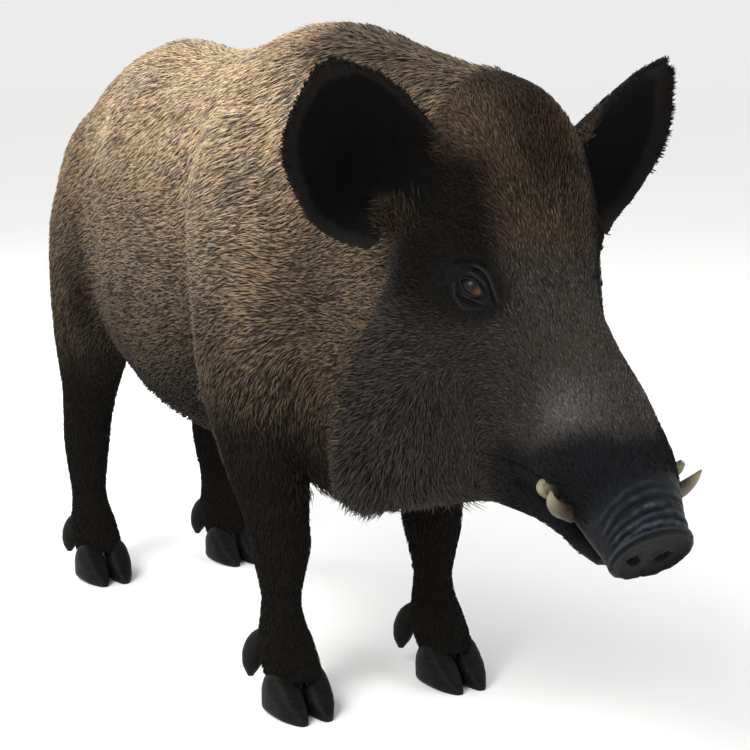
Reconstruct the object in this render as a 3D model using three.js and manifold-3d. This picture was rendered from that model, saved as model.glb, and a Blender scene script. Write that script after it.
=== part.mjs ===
// Adult wild boar, standing still on four cloven feet, life size.
// Millimetres, +Z up. The animal faces -Y and its own left side is +X.
// The solids reach to the tips of the coat.
import * as THREE from 'three';
import Module from 'manifold-3d';

const wasm = await Module();
wasm.setup();

// ---------------------------------------------------------------- sizes
const GAP = 0.35;            // clearance between neighbouring parts
const Y_SHIFT = 177.91;
const AXIAL_RINGS = 28;      // rings from buttocks to nose
const AXIAL_SIDES = 24;
const LIMB_RINGS = 14;
const LIMB_SIDES = 12;
const TOE_FRONT = -360;      // Y of the front toe tips
const TOE_HIND = 315;        // Y of the hind toe tips
const CLAW_OUTER_X = 134.5;  // claws stand side by side under each leg
const CLAW_INNER_X = 90.5;
const SOLE_SINK = 1.6;       // how much of the rounded claw is pared flat
const EYE_CENTRE = [71.5, -646, 570.5];
const EYE_R = 16;
const SOCKET_CENTRE = [89, -658.5, 573.5];   // the opening of the lids is part of this ball
const SOCKET_R = 17;
const EAR_THICK = 8.5;

// Torso, neck and head, from the buttocks to the rim of the nose disc:
// [top y, top z, bottom y, bottom z, half width, height share of the widest level, top exponent, bottom exponent]
const AXIAL = [
  [497, 660, 491, 560, 14, .50, 2.0, 2.0],
  [491, 702, 485, 500, 50, .50, 2.0, 2.0],
  [467, 744, 461, 442, 84, .50, 2.0, 2.1],
  [424, 779, 419, 392, 119, .50, 2.0, 2.2],
  [350, 817, 345, 350, 151, .50, 2.0, 2.3],
  [243, 836, 240, 318, 173, .48, 2.0, 2.4],
  [91, 819, 91, 288, 190, .46, 2.0, 2.4],
  [-50, 828, -50, 281, 194, .46, 2.0, 2.3],
  [-150, 850, -140, 280, 190, .46, 1.95, 2.2],
  [-230, 853, -215, 266, 182, .46, 1.9, 2.2],
  [-320, 842, -290, 258, 166, .46, 1.9, 2.3],
  [-410, 823, -365, 263, 147, .46, 1.9, 2.6],
  [-500, 804, -430, 278, 138, .44, 2.0, 3.0],
  [-572, 794, -495, 293, 135, .42, 2.1, 3.2],
  [-634, 774, -545, 308, 126, .38, 2.1, 3.0],
  [-674, 721, -588, 320, 109, .36, 1.9, 2.8],
  [-702, 656, -628, 328, 94, .30, 1.55, 2.8],
  [-727, 595, -665, 336, 82, .30, 1.5, 2.8],
  [-765, 540, -705, 350, 73, .36, 1.55, 2.8],
  [-805, 487, -745, 363, 69, .44, 1.8, 3.8],
  [-838, 442, -782, 354, 63, .46, 1.95, 4.4],
  [-862, 402, -812, 329, 54, .42, 2.05, 4.2],
  [-874, 374, -831, 309, 49, .40, 2.1, 2.8],
  [-880, 351, -843, 295, 50, .50, 2.2, 2.2],
];
// Lower jaw, from below the cheeks to the chin
const JAW = [
  [-560, 420, -556, 350, 100, .50, 2.2, 2.6],
  [-620, 410, -616, 338, 92, .50, 2.2, 2.6],
  [-680, 398, -672, 335, 78, .50, 2.3, 2.5],
  [-735, 384, -725, 330, 65, .50, 2.4, 2.3],
  [-780, 352, -766, 322, 54, .50, 2.4, 2.2],
  [-806, 333, -792, 308, 46, .50, 2.3, 2.2],
  [-822, 320, -810, 298, 36, .50, 2.0, 2.0],
];
// Vertical lofts on the left side: [x, y, z, half width x, half width y, exponent]
const FRONT_LIMB = [
  [60, -190, 770, 40, 60, 2.0],
  [95, -195, 730, 66, 96, 2.0],
  [118, -215, 650, 76, 122, 2.0],
  [126, -240, 560, 78, 138, 2.1],
  [128, -250, 470, 74, 136, 2.1],
  [126, -245, 390, 64, 112, 2.1],
  [122, -242, 330, 54, 86, 2.1],
  [118, -246, 280, 46, 66, 2.1],
  [114, -254, 240, 40, 50, 2.1],
  [112, -260, 205, 38, 43, 2.1],
  [112, -262, 170, 31, 36, 2.0],
  [112, -262, 138, 26, 29, 2.0],
  [112, -264, 110, 29, 31, 2.0],
  [112, -272, 84, 35, 36, 2.1],
  [112, -284, 62, 37, 36, 2.2],
  [112, -296, 44, 36, 34, 2.3],
];
const HIND_LIMB = [
  [50, 300, 760, 36, 56, 2.0],
  [78, 318, 710, 62, 104, 2.0],
  [90, 335, 640, 72, 128, 2.0],
  [98, 352, 560, 76, 138, 2.0],
  [104, 365, 480, 70, 131, 2.1],
  [109, 378, 410, 60, 111, 2.1],
  [111, 396, 350, 51, 86, 2.1],
  [111, 410, 300, 42, 62, 2.1],
  [111, 423, 255, 37, 51, 2.1],
  [111, 431, 215, 35, 46, 2.1],
  [111, 432, 180, 32, 41, 2.0],
  [112, 427, 140, 28, 33, 2.0],
  [112, 421, 112, 29, 32, 2.0],
  [112, 411, 84, 35, 36, 2.1],
  [112, 399, 62, 37, 36, 2.2],
  [112, 387, 44, 36, 34, 2.3],
];
// Cheek ruff, the long hair behind the jaw
const RUFF = [
  [84, -590, 628, 30, 30, 2.0],
  [92, -580, 600, 42, 44, 2.0],
  [96, -566, 546, 46, 54, 2.0],
  [98, -520, 481, 48, 70, 2.0],
  [98, -478, 405, 47, 70, 2.0],
  [96, -461, 345, 44, 62, 2.0],
  [93, -452, 310, 36, 48, 2.0],
  [91, -449, 292, 16, 22, 2.0],
];
// Claw from heel to toe: [distance behind the toe tip, half width, height, lean towards the cleft]
const CLAW = [
  [84, 12.5, 40, 0],
  [76, 17.5, 50, 0],
  [60, 20, 57, 0],
  [42, 19.6, 48, 1],
  [24, 16.5, 32, 2.5],
  [10, 10.5, 17, 4],
  [2, 5.5, 9, 5],
  [0, 2.5, 6, 5],
];
// Ear rims, left side, from the root to the tip
const EAR_MEDIAL = [[94, -618, 716], [123, -615, 751], [168, -612, 787], [222, -596, 805]];
const EAR_LATERAL = [[158, -576, 609], [193, -545, 623], [223, -547, 656], [247, -562, 724], [222, -596, 805]];
const EAR_OPENING = [.35, -.90, -.26];       // direction the cup faces
const EAR_DEPTH = [58, 60, 52, 36, 16, 2];   // depth of the cup, root to tip
// Curved rods, left side: [x, y, z, radius]
const TUSK_LOWER = [[50, -797, 357, 8], [62, -803, 363, 8.2], [78, -809, 370, 7.6], [89, -815, 380, 5.4], [94, -821, 391, 1.2]];
const TUSK_UPPER = [[48, -778, 375, 8], [62, -783, 378, 8.4], [74, -788, 382, 8], [84, -793, 388, 6.6], [88.5, -797.5, 395.5, 3.4]];
const TAIL = [[0, 458, 742, 22], [0, 490, 728, 19], [0, 506, 690, 15], [0, 512, 630, 12], [0, 513, 565, 11], [0, 511, 510, 12], [0, 508, 470, 4]];
// Cut planes: a point [y, z] at the top and one at the bottom
const CUT_HEAD = [[-540, 800], [-392, 290]];
const CUT_NECK = [[-335, 850], [-335, 290]];
const CUT_JAW = [[-640, 420], [-628, 320]];
const LEG_CUT_FRONT = [60, 322];             // x, z where the shoulder cut starts inboard
const LEG_CUT_HIND = [56, 345];
const LEG_CUT_RISE = .75;                    // the cut climbs outwards

// ---------------------------------------------------------------- colours
const COAT = '#8a765e', FACE = '#4b443c', LEG = '#2a2520', EAR_C = '#1d1b19';
const finish = (color, roughness, metalness = 0) => new THREE.MeshStandardMaterial({ color, roughness, metalness });
const material = {
  coat: () => finish(COAT, .85), face: () => finish(FACE, .85), leg: () => finish(LEG, .85), ear: () => finish(EAR_C, .85),
  horn: () => finish('#33302d', .45), ivory: () => finish('#cfc3a0', .4), eye: () => finish('#3a2416', .12),
};

// ---------------------------------------------------------------- helpers
// Catmull-Rom through the rows of a table, t from 0 to 1
function row(table, t) {
  const n = table.length, p = (n - 1) * t, i = Math.min(Math.max(Math.floor(p), 0), n - 2), w = p - i;
  const at = k => k < 0 ? table[0].map((v, j) => 2 * v - table[1][j])
    : k >= n ? table[n - 1].map((v, j) => 2 * v - table[n - 2][j]) : table[k];
  const a = at(i - 1), b = at(i), c = at(i + 1), d = at(i + 2);
  return b.map((v, j) => {
    const t0 = (c[j] - a[j]) / 2, t1 = (d[j] - b[j]) / 2;
    return v + t0 * w + (-3 * v + 3 * c[j] - 2 * t0 - t1) * w * w + (2 * v - 2 * c[j] + t0 + t1) * w * w * w;
  });
}
const rows = (table, count) => Array.from({ length: count }, (_, k) => row(table, k / (count - 1)));
const power = (v, n) => Math.sign(v) * Math.pow(Math.abs(v), 2 / n);
const turn = (k, sides) => k / sides * 2 * Math.PI;
const add = (a, b, s = 1) => a.map((v, i) => v + s * b[i]);
const unit = v => { const l = Math.hypot(...v); return v.map(x => x / l); };
const cross = (a, b) => [a[1] * b[2] - a[2] * b[1], a[2] * b[0] - a[0] * b[2], a[0] * b[1] - a[1] * b[0]];
const flipX = rings => rings.map(r => r.map(p => [-p[0], p[1], p[2]]));

// A solid from vertices and triangles, turned to face outwards
function solid(verts, tris) {
  let vol = 0;
  for (const [a, b, c] of tris) {
    const A = verts[a], n = cross(verts[b], verts[c]);
    vol += A[0] * n[0] + A[1] * n[1] + A[2] * n[2];
  }
  const idx = tris.flatMap(([a, b, c]) => vol < 0 ? [a, c, b] : [a, b, c]);
  return new wasm.Manifold(new wasm.Mesh({ numProp: 3, vertProperties: Float32Array.from(verts.flat()), triVerts: Uint32Array.from(idx) }));
}
// A closed loft through equal rings, with fan caps
function loft(rings) {
  const m = rings.length, n = rings[0].length, verts = rings.flat(), tris = [];
  for (let i = 0; i < m - 1; i++) for (let j = 0; j < n; j++) {
    const a = i * n + j, b = i * n + (j + 1) % n, c = a + n, d = b + n;
    tris.push([a, b, d], [a, d, c]);
  }
  const mid = r => r.reduce((s, p) => add(s, p, 1 / n), [0, 0, 0]);
  const c0 = verts.push(mid(rings[0])) - 1, c1 = verts.push(mid(rings[m - 1])) - 1;
  for (let j = 0; j < n; j++) {
    const k = (j + 1) % n;
    tris.push([c0, k, j], [c1, (m - 1) * n + j, (m - 1) * n + k]);
  }
  return solid(verts, tris);
}
// Rings whose planes lean with the top and bottom lines
function axial(table, count, sides, off = 0) {
  return loft(rows(table, count).map(([ty, tz, by, bz, w, f, nt, nb]) => {
    const L = Math.hypot(ty - by, tz - bz), uy = (ty - by) / L, uz = (tz - bz) / L;
    return Array.from({ length: sides }, (_, k) => {
      const c = Math.cos(turn(k, sides)), s = Math.sin(turn(k, sides)), n = s >= 0 ? nt : nb;
      const h = (s >= 0 ? (1 - f) * L + off : f * L + off) * power(s, n);
      return [(w + off) * power(c, n), by + f * (ty - by) + uy * h, bz + f * (tz - bz) + uz * h];
    });
  }));
}
function upright(table, count, sides, side, off = 0) {
  const rings = rows(table, count).map(([x, y, z, rx, ry, n]) => Array.from({ length: sides }, (_, k) =>
    [x + (rx + off) * power(Math.cos(turn(k, sides)), n), y + (ry + off) * power(Math.sin(turn(k, sides)), n), z]));
  return loft(side < 0 ? flipX(rings) : rings);
}
// A tapering curved rod
function rod(table, count, sides, side, off = 0) {
  const P = rows(table, count);
  const rings = P.map((p, i) => {
    const t = unit(add(P[Math.min(i + 1, count - 1)], P[Math.max(i - 1, 0)], -1).slice(0, 3));
    const a = unit(cross(t, Math.abs(t[1]) > .9 ? [1, 0, 0] : [0, 1, 0])), b = cross(t, a);
    const end = i === 0 ? -off : i === count - 1 ? off : 0;
    return Array.from({ length: sides }, (_, k) => add(add(add(p.slice(0, 3), a, (p[3] + off) * Math.cos(turn(k, sides))), b, (p[3] + off) * Math.sin(turn(k, sides))), t, end));
  });
  return loft(side < 0 ? flipX(rings) : rings);
}
function ball(c, r, side, sides = 12) {
  const rings = [];
  for (let i = 1; i < 6; i++) rings.push(Array.from({ length: sides }, (_, k) =>
    [side * c[0] + r * Math.cos(Math.PI * i / 6), c[1] + r * Math.sin(Math.PI * i / 6) * Math.cos(turn(k, sides)), c[2] + r * Math.sin(Math.PI * i / 6) * Math.sin(turn(k, sides))]));
  return loft(rings);
}
// Everything on one side of a plane that holds the X axis direction: front (-Y) of the line from a to b
function slabSide(line, front, off = 0) {
  const [[y0, z0], [y1, z1]] = line, L = Math.hypot(y1 - y0, z1 - z0), dy = (y1 - y0) / L, dz = (z1 - z0) / L;
  const ny = front ? dz : -dz, nz = front ? -dy : dy;      // normal, away from the kept side's edge
  const p = (s, d) => [y0 + dy * s + ny * d, z0 + dz * s + nz * d];
  const q = [p(-900, off), p(2000, off), p(2000, 2500), p(-900, 2500)];
  return box8(q.map(([y, z]) => [-900, y, z]), q.map(([y, z]) => [900, y, z]));
}
function box8(a, b) {
  const v = [...a, ...b];
  return solid(v, [[0, 1, 2], [0, 2, 3], [4, 6, 5], [4, 7, 6], [0, 5, 1], [0, 4, 5], [1, 6, 2], [1, 5, 6], [2, 7, 3], [2, 6, 7], [3, 4, 0], [3, 7, 4]]);
}
// The space under a leg cut that climbs outwards from [x, z]
function underCut([x, z], side, drop = 0) {
  const top = xx => z - drop + (xx - x) * LEG_CUT_RISE;
  const X = [-60, 330];
  const q = [[X[0], -200], [X[1], -200], [X[1], top(X[1])], [X[0], top(X[0])]];
  const end = y => q.map(([px, pz]) => [side * px, y, pz]);
  return box8(end(-900), end(900));
}
const floorBlock = box8([[-900, -1200, -300], [900, -1200, -300], [900, 1200, -300], [-900, 1200, -300]], [[-900, -1200, 0], [900, -1200, 0], [900, 1200, 0], [-900, 1200, 0]]);

// ---------------------------------------------------------------- limbs and feet
function claw(toe, xc, lean, off = 0) {
  const count = 8, rings = rows(CLAW, count).map(([d, hw, h, sh], i) => {
    const y = toe + d + (i === 0 ? off : i === count - 1 ? -off : 0);
    return Array.from({ length: 10 }, (_, k) => {
      const c = Math.cos(turn(k + .5, 10)), s = Math.sin(turn(k + .5, 10));
      return [xc + lean * sh + (hw + off) * power(c, 2.6), y, -SOLE_SINK + (h + SOLE_SINK) / 2 + ((h + SOLE_SINK) / 2 + off) * power(s, s > 0 ? 2.2 : 6)];
    });
  });
  return loft(rings);
}
const dewTable = (toe, xc, out) => [[xc - 7 * out, toe + 112, 88, 9], [xc, toe + 122, 76, 14], [xc + 4 * out, toe + 129, 60, 15], [xc + 6 * out, toe + 133, 42, 12], [xc + 7 * out, toe + 135, 27, 4]];

const axialSolid = axial(AXIAL, AXIAL_RINGS, AXIAL_SIDES);
const axialGrown = axial(AXIAL, AXIAL_RINGS, AXIAL_SIDES, GAP);
const jawSolid = axial(JAW, 10, 16);
const jawGrown = axial(JAW, 10, 16, GAP);
let body = axialSolid;
const out = {};
const SIDES = [['right', -1], ['left', 1]];
const LEGS = [['front', FRONT_LIMB, TOE_FRONT, LEG_CUT_FRONT], ['hind', HIND_LIMB, TOE_HIND, LEG_CUT_HIND]];

for (const [, side] of SIDES) body = body.add(upright(RUFF, 8, 12, side));
const cutters = [];
for (const [end, table, toe, cut] of LEGS) for (const [name, side] of SIDES) {
  const limb = upright(table, LIMB_RINGS, LIMB_SIDES, side);
  const grown = upright(table, LIMB_RINGS, LIMB_SIDES, side, GAP);
  body = body.add(limb);
  cutters.push(grown.intersect(underCut(cut, side)));
  let leg = limb.intersect(underCut(cut, side, GAP));
  for (const [pos, x, lean] of [['outer', CLAW_OUTER_X, -1], ['inner', CLAW_INNER_X, 1]]) {
    out[`hoof_${end}_${name}_${pos}`] = [claw(toe, side * x, side * lean).subtract(floorBlock), 'horn'];
    leg = leg.subtract(claw(toe, side * x, side * lean, GAP));
    const dew = dewTable(toe, pos === 'outer' ? 132 : 92, pos === 'outer' ? 1 : -1);
    out[`dewclaw_${end}_${name}_${pos}`] = [rod(dew, 5, 7, side), 'horn'];
    leg = leg.subtract(rod(dew, 5, 7, side, GAP));
  }
  out[`leg_${end}_${name}`] = [leg, 'leg'];
}
for (const c of cutters) body = body.subtract(c);

// ---------------------------------------------------------------- trunk, neck, head, jaw
const trunk = body.intersect(slabSide(CUT_NECK, false, GAP / 2));
const neck = body.intersect(slabSide(CUT_NECK, true, GAP / 2)).intersect(slabSide(CUT_HEAD, false, GAP / 2));
let head = body.add(jawSolid.intersect(slabSide(CUT_JAW, false, 0))).intersect(slabSide(CUT_HEAD, true, GAP / 2));
const jawSpace = slabSide(CUT_JAW, true, 0);
let jaw = jawSolid.intersect(slabSide(CUT_JAW, true, GAP));
head = head.subtract(jawGrown.intersect(jawSpace));

// ---------------------------------------------------------------- ears, eyes, tusks, tail
function ear(side, off = 0) {
  const nv = 8, nu = 8, open = unit(EAR_OPENING);
  const grid = [];
  for (let i = 0; i < nv; i++) {
    const v = .985 * i / (nv - 1), M = row(EAR_MEDIAL, v), L = row(EAR_LATERAL, v), d = row(EAR_DEPTH.map(x => [x]), v)[0];
    grid.push(Array.from({ length: nu }, (_, j) => {
      const u = j / (nu - 1);
      return add(add(M.map(x => x * (1 - u)), L, u), open, -d * Math.pow(Math.sin(Math.PI * u), .8));
    }));
  }
  // a root row sunk into the skull
  grid.unshift(grid[0].map(p => add(add(p, add([70, -560, 655], p, -1), .45), open, -12)));
  const rings = grid.map((r, i) => {
    const back = r.map((p, j) => {
      const du = add(r[Math.min(j + 1, nu - 1)], r[Math.max(j - 1, 0)], -1);
      const dv = add(grid[Math.min(i + 1, nv)][j], grid[Math.max(i - 1, 0)][j], -1);
      let n = unit(cross(du, dv));
      if (n[0] * open[0] + n[1] * open[1] + n[2] * open[2] < 0) n = n.map(x => -x);
      return add(p, n, -EAR_THICK);
    });
    return [...r, ...back.reverse()];
  });
  return loft(side < 0 ? flipX(rings) : rings);
}
for (const [name, side] of SIDES) {
  out[`ear_${name}`] = [ear(side).subtract(axialGrown).subtract(upright(RUFF, 8, 12, side, GAP)), 'ear'];
  out[`eye_${name}`] = [ball(EYE_CENTRE, EYE_R, side), 'eye'];
  head = head.subtract(ball(EYE_CENTRE, EYE_R + GAP, side)).subtract(ball(SOCKET_CENTRE, SOCKET_R, side, 10));
  for (const [lvl, table] of [['upper', TUSK_UPPER], ['lower', TUSK_LOWER]]) {
    out[`tusk_${lvl}_${name}`] = [rod(table, 7, 8, side), 'ivory'];
    head = head.subtract(rod(table, 7, 8, side, GAP));
    jaw = jaw.subtract(rod(table, 7, 8, side, GAP));
  }
}
out.tail = [rod(TAIL, 9, 8, 1).subtract(axialGrown), 'coat'];
out.trunk = [trunk, 'coat'];
out.neck = [neck, 'coat'];
out.head = [head, 'face'];
out.jaw = [jaw, 'face'];

// ---------------------------------------------------------------- meshes
const group = new THREE.Group();
group.name = 'wild_boar';
for (const name of Object.keys(out).sort()) {
  const [shape, kind] = out[name];
  const m = shape.getMesh(), n = m.numProp, pos = new Float32Array(m.vertProperties.length / n * 3);
  for (let i = 0; i < pos.length / 3; i++) {
    pos[3 * i] = m.vertProperties[n * i];
    pos[3 * i + 1] = m.vertProperties[n * i + 1] + Y_SHIFT;
    pos[3 * i + 2] = m.vertProperties[n * i + 2];
  }
  const g = new THREE.BufferGeometry();
  g.setAttribute('position', new THREE.BufferAttribute(pos, 3));
  g.setIndex(Array.from(m.triVerts));
  g.computeVertexNormals();
  const mesh = new THREE.Mesh(g, material[kind]());
  mesh.name = name;
  group.add(mesh);
}
export default group;
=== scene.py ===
import bpy, bmesh, math
import numpy as np
from mathutils import Matrix, Vector


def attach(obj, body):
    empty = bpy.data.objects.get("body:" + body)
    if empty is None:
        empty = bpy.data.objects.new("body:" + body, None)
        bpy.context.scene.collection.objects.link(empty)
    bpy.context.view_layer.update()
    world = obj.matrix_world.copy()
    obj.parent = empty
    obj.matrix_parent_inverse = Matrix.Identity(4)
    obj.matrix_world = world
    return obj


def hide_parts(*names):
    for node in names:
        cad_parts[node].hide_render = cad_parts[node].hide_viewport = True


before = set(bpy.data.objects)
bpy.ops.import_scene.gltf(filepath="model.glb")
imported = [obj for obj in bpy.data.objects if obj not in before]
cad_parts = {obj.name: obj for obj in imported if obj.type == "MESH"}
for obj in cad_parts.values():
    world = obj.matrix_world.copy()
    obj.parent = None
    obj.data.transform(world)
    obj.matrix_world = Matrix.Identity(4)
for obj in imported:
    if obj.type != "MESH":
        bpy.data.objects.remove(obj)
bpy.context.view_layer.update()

# ------------------------------------------------------------------ sizes
# Tables in millimetres, drawn with the animal facing -Y; SHIFT brings them to the frame.
SHIFT = 177.91
VOXEL = 0.0034
AXIAL = np.array([
    # top y, top z, bottom y, bottom z, half width, level of the widest line, top and bottom exponents
    [497, 660, 491, 560, 14, 0.5, 2, 2],
    [491, 702, 485, 500, 50, 0.5, 2, 2],
    [467, 744, 461, 442, 84, 0.5, 2, 2.1],
    [424, 779, 419, 392, 119, 0.5, 2, 2.2],
    [350, 817, 345, 350, 151, 0.5, 2, 2.3],
    [243, 836, 240, 318, 173, 0.48, 2, 2.4],
    [91, 819, 91, 288, 190, 0.46, 2, 2.4],
    [-50, 828, -50, 281, 194, 0.46, 2, 2.3],
    [-150, 850, -140, 280, 190, 0.46, 1.95, 2.2],
    [-230, 853, -215, 266, 182, 0.46, 1.9, 2.2],
    [-320, 842, -290, 258, 166, 0.46, 1.9, 2.3],
    [-410, 823, -365, 263, 147, 0.46, 1.9, 2.6],
    [-500, 804, -430, 278, 138, 0.44, 2, 3],
    [-572, 794, -495, 293, 135, 0.42, 2.1, 3.2],
    [-634, 774, -545, 308, 126, 0.38, 2.1, 3],
    [-674, 721, -588, 320, 109, 0.36, 1.9, 2.8],
    [-702, 656, -628, 328, 94, 0.3, 1.55, 2.8],
    [-727, 595, -665, 336, 82, 0.3, 1.5, 2.8],
    [-765, 540, -705, 350, 73, 0.36, 1.55, 2.8],
    [-805, 487, -745, 363, 69, 0.44, 1.8, 3.8],
    [-838, 442, -782, 354, 63, 0.46, 1.95, 4.4],
    [-862, 402, -812, 329, 54, 0.42, 2.05, 4.2],
    [-874, 374, -831, 309, 49, 0.4, 2.1, 2.8],
    [-880, 351, -843, 295, 50, 0.5, 2.2, 2.2]], float)
JAW = np.array([
    [-560, 420, -556, 350, 100, 0.5, 2.2, 2.6],
    [-620, 410, -616, 338, 92, 0.5, 2.2, 2.6],
    [-680, 398, -672, 335, 78, 0.5, 2.3, 2.5],
    [-735, 384, -725, 330, 65, 0.5, 2.4, 2.3],
    [-780, 352, -766, 322, 54, 0.5, 2.4, 2.2],
    [-806, 333, -792, 308, 46, 0.5, 2.3, 2.2],
    [-822, 320, -810, 298, 36, 0.5, 2, 2]], float)
FRONT_LIMB = np.array([
    # x, y, z, half width x, half width y, exponent
    [60, -190, 770, 40, 60, 2],
    [95, -195, 730, 66, 96, 2],
    [118, -215, 650, 76, 122, 2],
    [126, -240, 560, 78, 138, 2.1],
    [128, -250, 470, 74, 136, 2.1],
    [126, -245, 390, 64, 112, 2.1],
    [122, -242, 330, 54, 86, 2.1],
    [118, -246, 280, 46, 66, 2.1],
    [114, -254, 240, 40, 50, 2.1],
    [112, -260, 205, 38, 43, 2.1],
    [112, -262, 170, 31, 36, 2],
    [112, -262, 138, 26, 29, 2],
    [112, -264, 110, 29, 31, 2],
    [112, -272, 84, 35, 36, 2.1],
    [112, -284, 62, 37, 36, 2.2],
    [112, -296, 44, 36, 34, 2.3]], float)
HIND_LIMB = np.array([
    [50, 300, 760, 36, 56, 2],
    [78, 318, 710, 62, 104, 2],
    [90, 335, 640, 72, 128, 2],
    [98, 352, 560, 76, 138, 2],
    [104, 365, 480, 70, 131, 2.1],
    [109, 378, 410, 60, 111, 2.1],
    [111, 396, 350, 51, 86, 2.1],
    [111, 410, 300, 42, 62, 2.1],
    [111, 423, 255, 37, 51, 2.1],
    [111, 431, 215, 35, 46, 2.1],
    [111, 432, 180, 32, 41, 2],
    [112, 427, 140, 28, 33, 2],
    [112, 421, 112, 29, 32, 2],
    [112, 411, 84, 35, 36, 2.1],
    [112, 399, 62, 37, 36, 2.2],
    [112, 387, 44, 36, 34, 2.3]], float)
RUFF = np.array([
    [84, -590, 628, 30, 30, 2],
    [92, -580, 600, 42, 44, 2],
    [96, -566, 546, 46, 54, 2],
    [98, -520, 481, 48, 70, 2],
    [98, -478, 405, 47, 70, 2],
    [96, -461, 345, 44, 62, 2],
    [93, -452, 310, 36, 48, 2],
    [91, -449, 292, 16, 22, 2]], float)
CLAW = np.array([
    # distance behind the toe tip, half width, height, lean towards the cleft
    [84, 12.5, 40, 0], [76, 17.5, 50, 0], [60, 20, 57, 0], [42, 19.6, 48, 1],
    [24, 16.5, 32, 2.5], [10, 10.5, 17, 4], [2, 5.5, 9, 5], [0, 2.5, 6, 5]], float)
EAR_MEDIAL = np.array([[94, -618, 716], [123, -615, 751], [168, -612, 787], [222, -596, 805]], float)
EAR_LATERAL = np.array([[158, -576, 609], [193, -545, 623], [223, -547, 656], [247, -562, 724], [222, -596, 805]], float)
EAR_OPEN = np.array([.35, -.90, -.26]); EAR_OPEN /= np.linalg.norm(EAR_OPEN)
EAR_DEPTH = np.array([58, 60, 52, 36, 16, 2], float)
EAR_THICK = 8.5
TUSK_LOWER = np.array([[50, -797, 357, 8], [62, -803, 363, 8.2], [78, -809, 370, 7.6], [89, -815, 380, 5.4], [94, -821, 391, 1.2]], float)
TUSK_UPPER = np.array([[48, -778, 375, 8], [62, -783, 378, 8.4], [74, -788, 382, 8], [84, -793, 388, 6.6], [88.5, -797.5, 395.5, 3.4]], float)
TAIL = np.array([[0, 458, 742, 22], [0, 490, 728, 19], [0, 506, 690, 15], [0, 512, 630, 12], [0, 513, 565, 11], [0, 511, 510, 12], [0, 508, 470, 4]], float)
EYE = np.array([71.5, -646, 570.5]); EYE_R = 16.0
TOES = {"front": -360., "hind": 315.}
CLAW_X = {"outer": 134.5, "inner": 90.5}
SIDES = (("right", -1), ("left", 1))


# ------------------------------------------------------------------ helpers
def smooth(a, b, x):
    t = np.clip((x - a) / (b - a), 0, 1)
    return t * t * (3 - 2 * t)


def unit(v):
    return v / (np.linalg.norm(v, axis=-1, keepdims=True) + 1e-12)


def rows(P, count):
    """Catmull-Rom through the rows of a table"""
    n = len(P); p = (n - 1) * np.linspace(0, 1, count); i = np.clip(p.astype(int), 0, n - 2); w = (p - i)[:, None]
    q = np.vstack([2 * P[0] - P[1], P, 2 * P[-1] - P[-2]])
    a, b, c, d = q[i], q[i + 1], q[i + 2], q[i + 3]
    t0, t1 = .5 * (c - a), .5 * (d - b)
    return b + t0 * w + (-3 * b + 3 * c - 2 * t0 - t1) * w ** 2 + (2 * b - 2 * c + t0 + t1) * w ** 3


def power(v, n):
    return np.sign(v) * np.abs(v) ** (2 / n)


def loft(rings):
    rings = np.asarray(rings); m, n, _ = rings.shape
    V = rings.reshape(-1, 3); a = np.arange(m - 1)[:, None] * n; j = np.arange(n)[None]; k = (j + 1) % n
    q = np.stack([a + j, a + k, a + n + k, a + n + j], -1).reshape(-1, 4)
    F = np.vstack([q[:, [0, 1, 2]], q[:, [0, 2, 3]]])
    c = len(V); V = np.vstack([V, rings[0].mean(0), rings[-1].mean(0)])
    j = np.arange(n); k = (j + 1) % n
    F = np.vstack([F, np.stack([np.full(n, c), k, j], 1), np.stack([np.full(n, c + 1), (m - 1) * n + j, (m - 1) * n + k], 1)])
    A, B, C = V[F[:, 0]], V[F[:, 1]], V[F[:, 2]]
    if np.einsum('ij,ij->i', A, np.cross(B, C)).sum() < 0:
        F = F[:, ::-1]
    return V, F


def join(parts):
    V, F, o = [], [], 0
    for v, f in parts:
        V.append(v); F.append(f + o); o += len(v)
    return np.vstack(V), np.vstack(F)


def flip(V, F):
    return V * [-1, 1, 1], F[:, ::-1]


def axial(table, count, sides, inset):
    out = []
    th = np.arange(sides) / sides * 2 * np.pi; c, s = np.cos(th), np.sin(th)
    for ty, tz, by, bz, w, f, nt, nb in rows(table, count):
        d = np.array([ty - by, tz - bz]); L = np.hypot(*d); u = d / L; ins = inset((ty + by) / 2)
        n = np.where(s >= 0, nt, nb)
        h = np.where(s >= 0, (1 - f) * L - ins, f * L - ins) * power(s, n)
        out.append(np.stack([(w - ins) * power(c, n), by + f * d[0] + u[0] * h, bz + f * d[1] + u[1] * h], 1))
    return loft(out)


def upright(table, count, sides, inset):
    th = np.arange(sides) / sides * 2 * np.pi
    out = []
    for x, y, z, rx, ry, n in rows(table, count):
        i = inset(z)
        out.append(np.stack([x + (rx - i) * power(np.cos(th), n), y + (ry - i) * power(np.sin(th), n), np.full(sides, z)], 1))
    return loft(out)


def rod(table, count, sides, inset=0.):
    P = rows(table, count); C = P[:, :3]; T = unit(np.gradient(C, axis=0)); th = np.arange(sides) / sides * 2 * np.pi
    out = []
    for p, t in zip(P, T):
        a = unit(np.cross(t, [1, 0, 0] if abs(t[1]) > .9 else [0, 1, 0])); b = np.cross(t, a); r = max(p[3] - inset, .6)
        out.append(p[:3] + r * (np.outer(np.cos(th), a) + np.outer(np.sin(th), b)))
    return loft(out)


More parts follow.
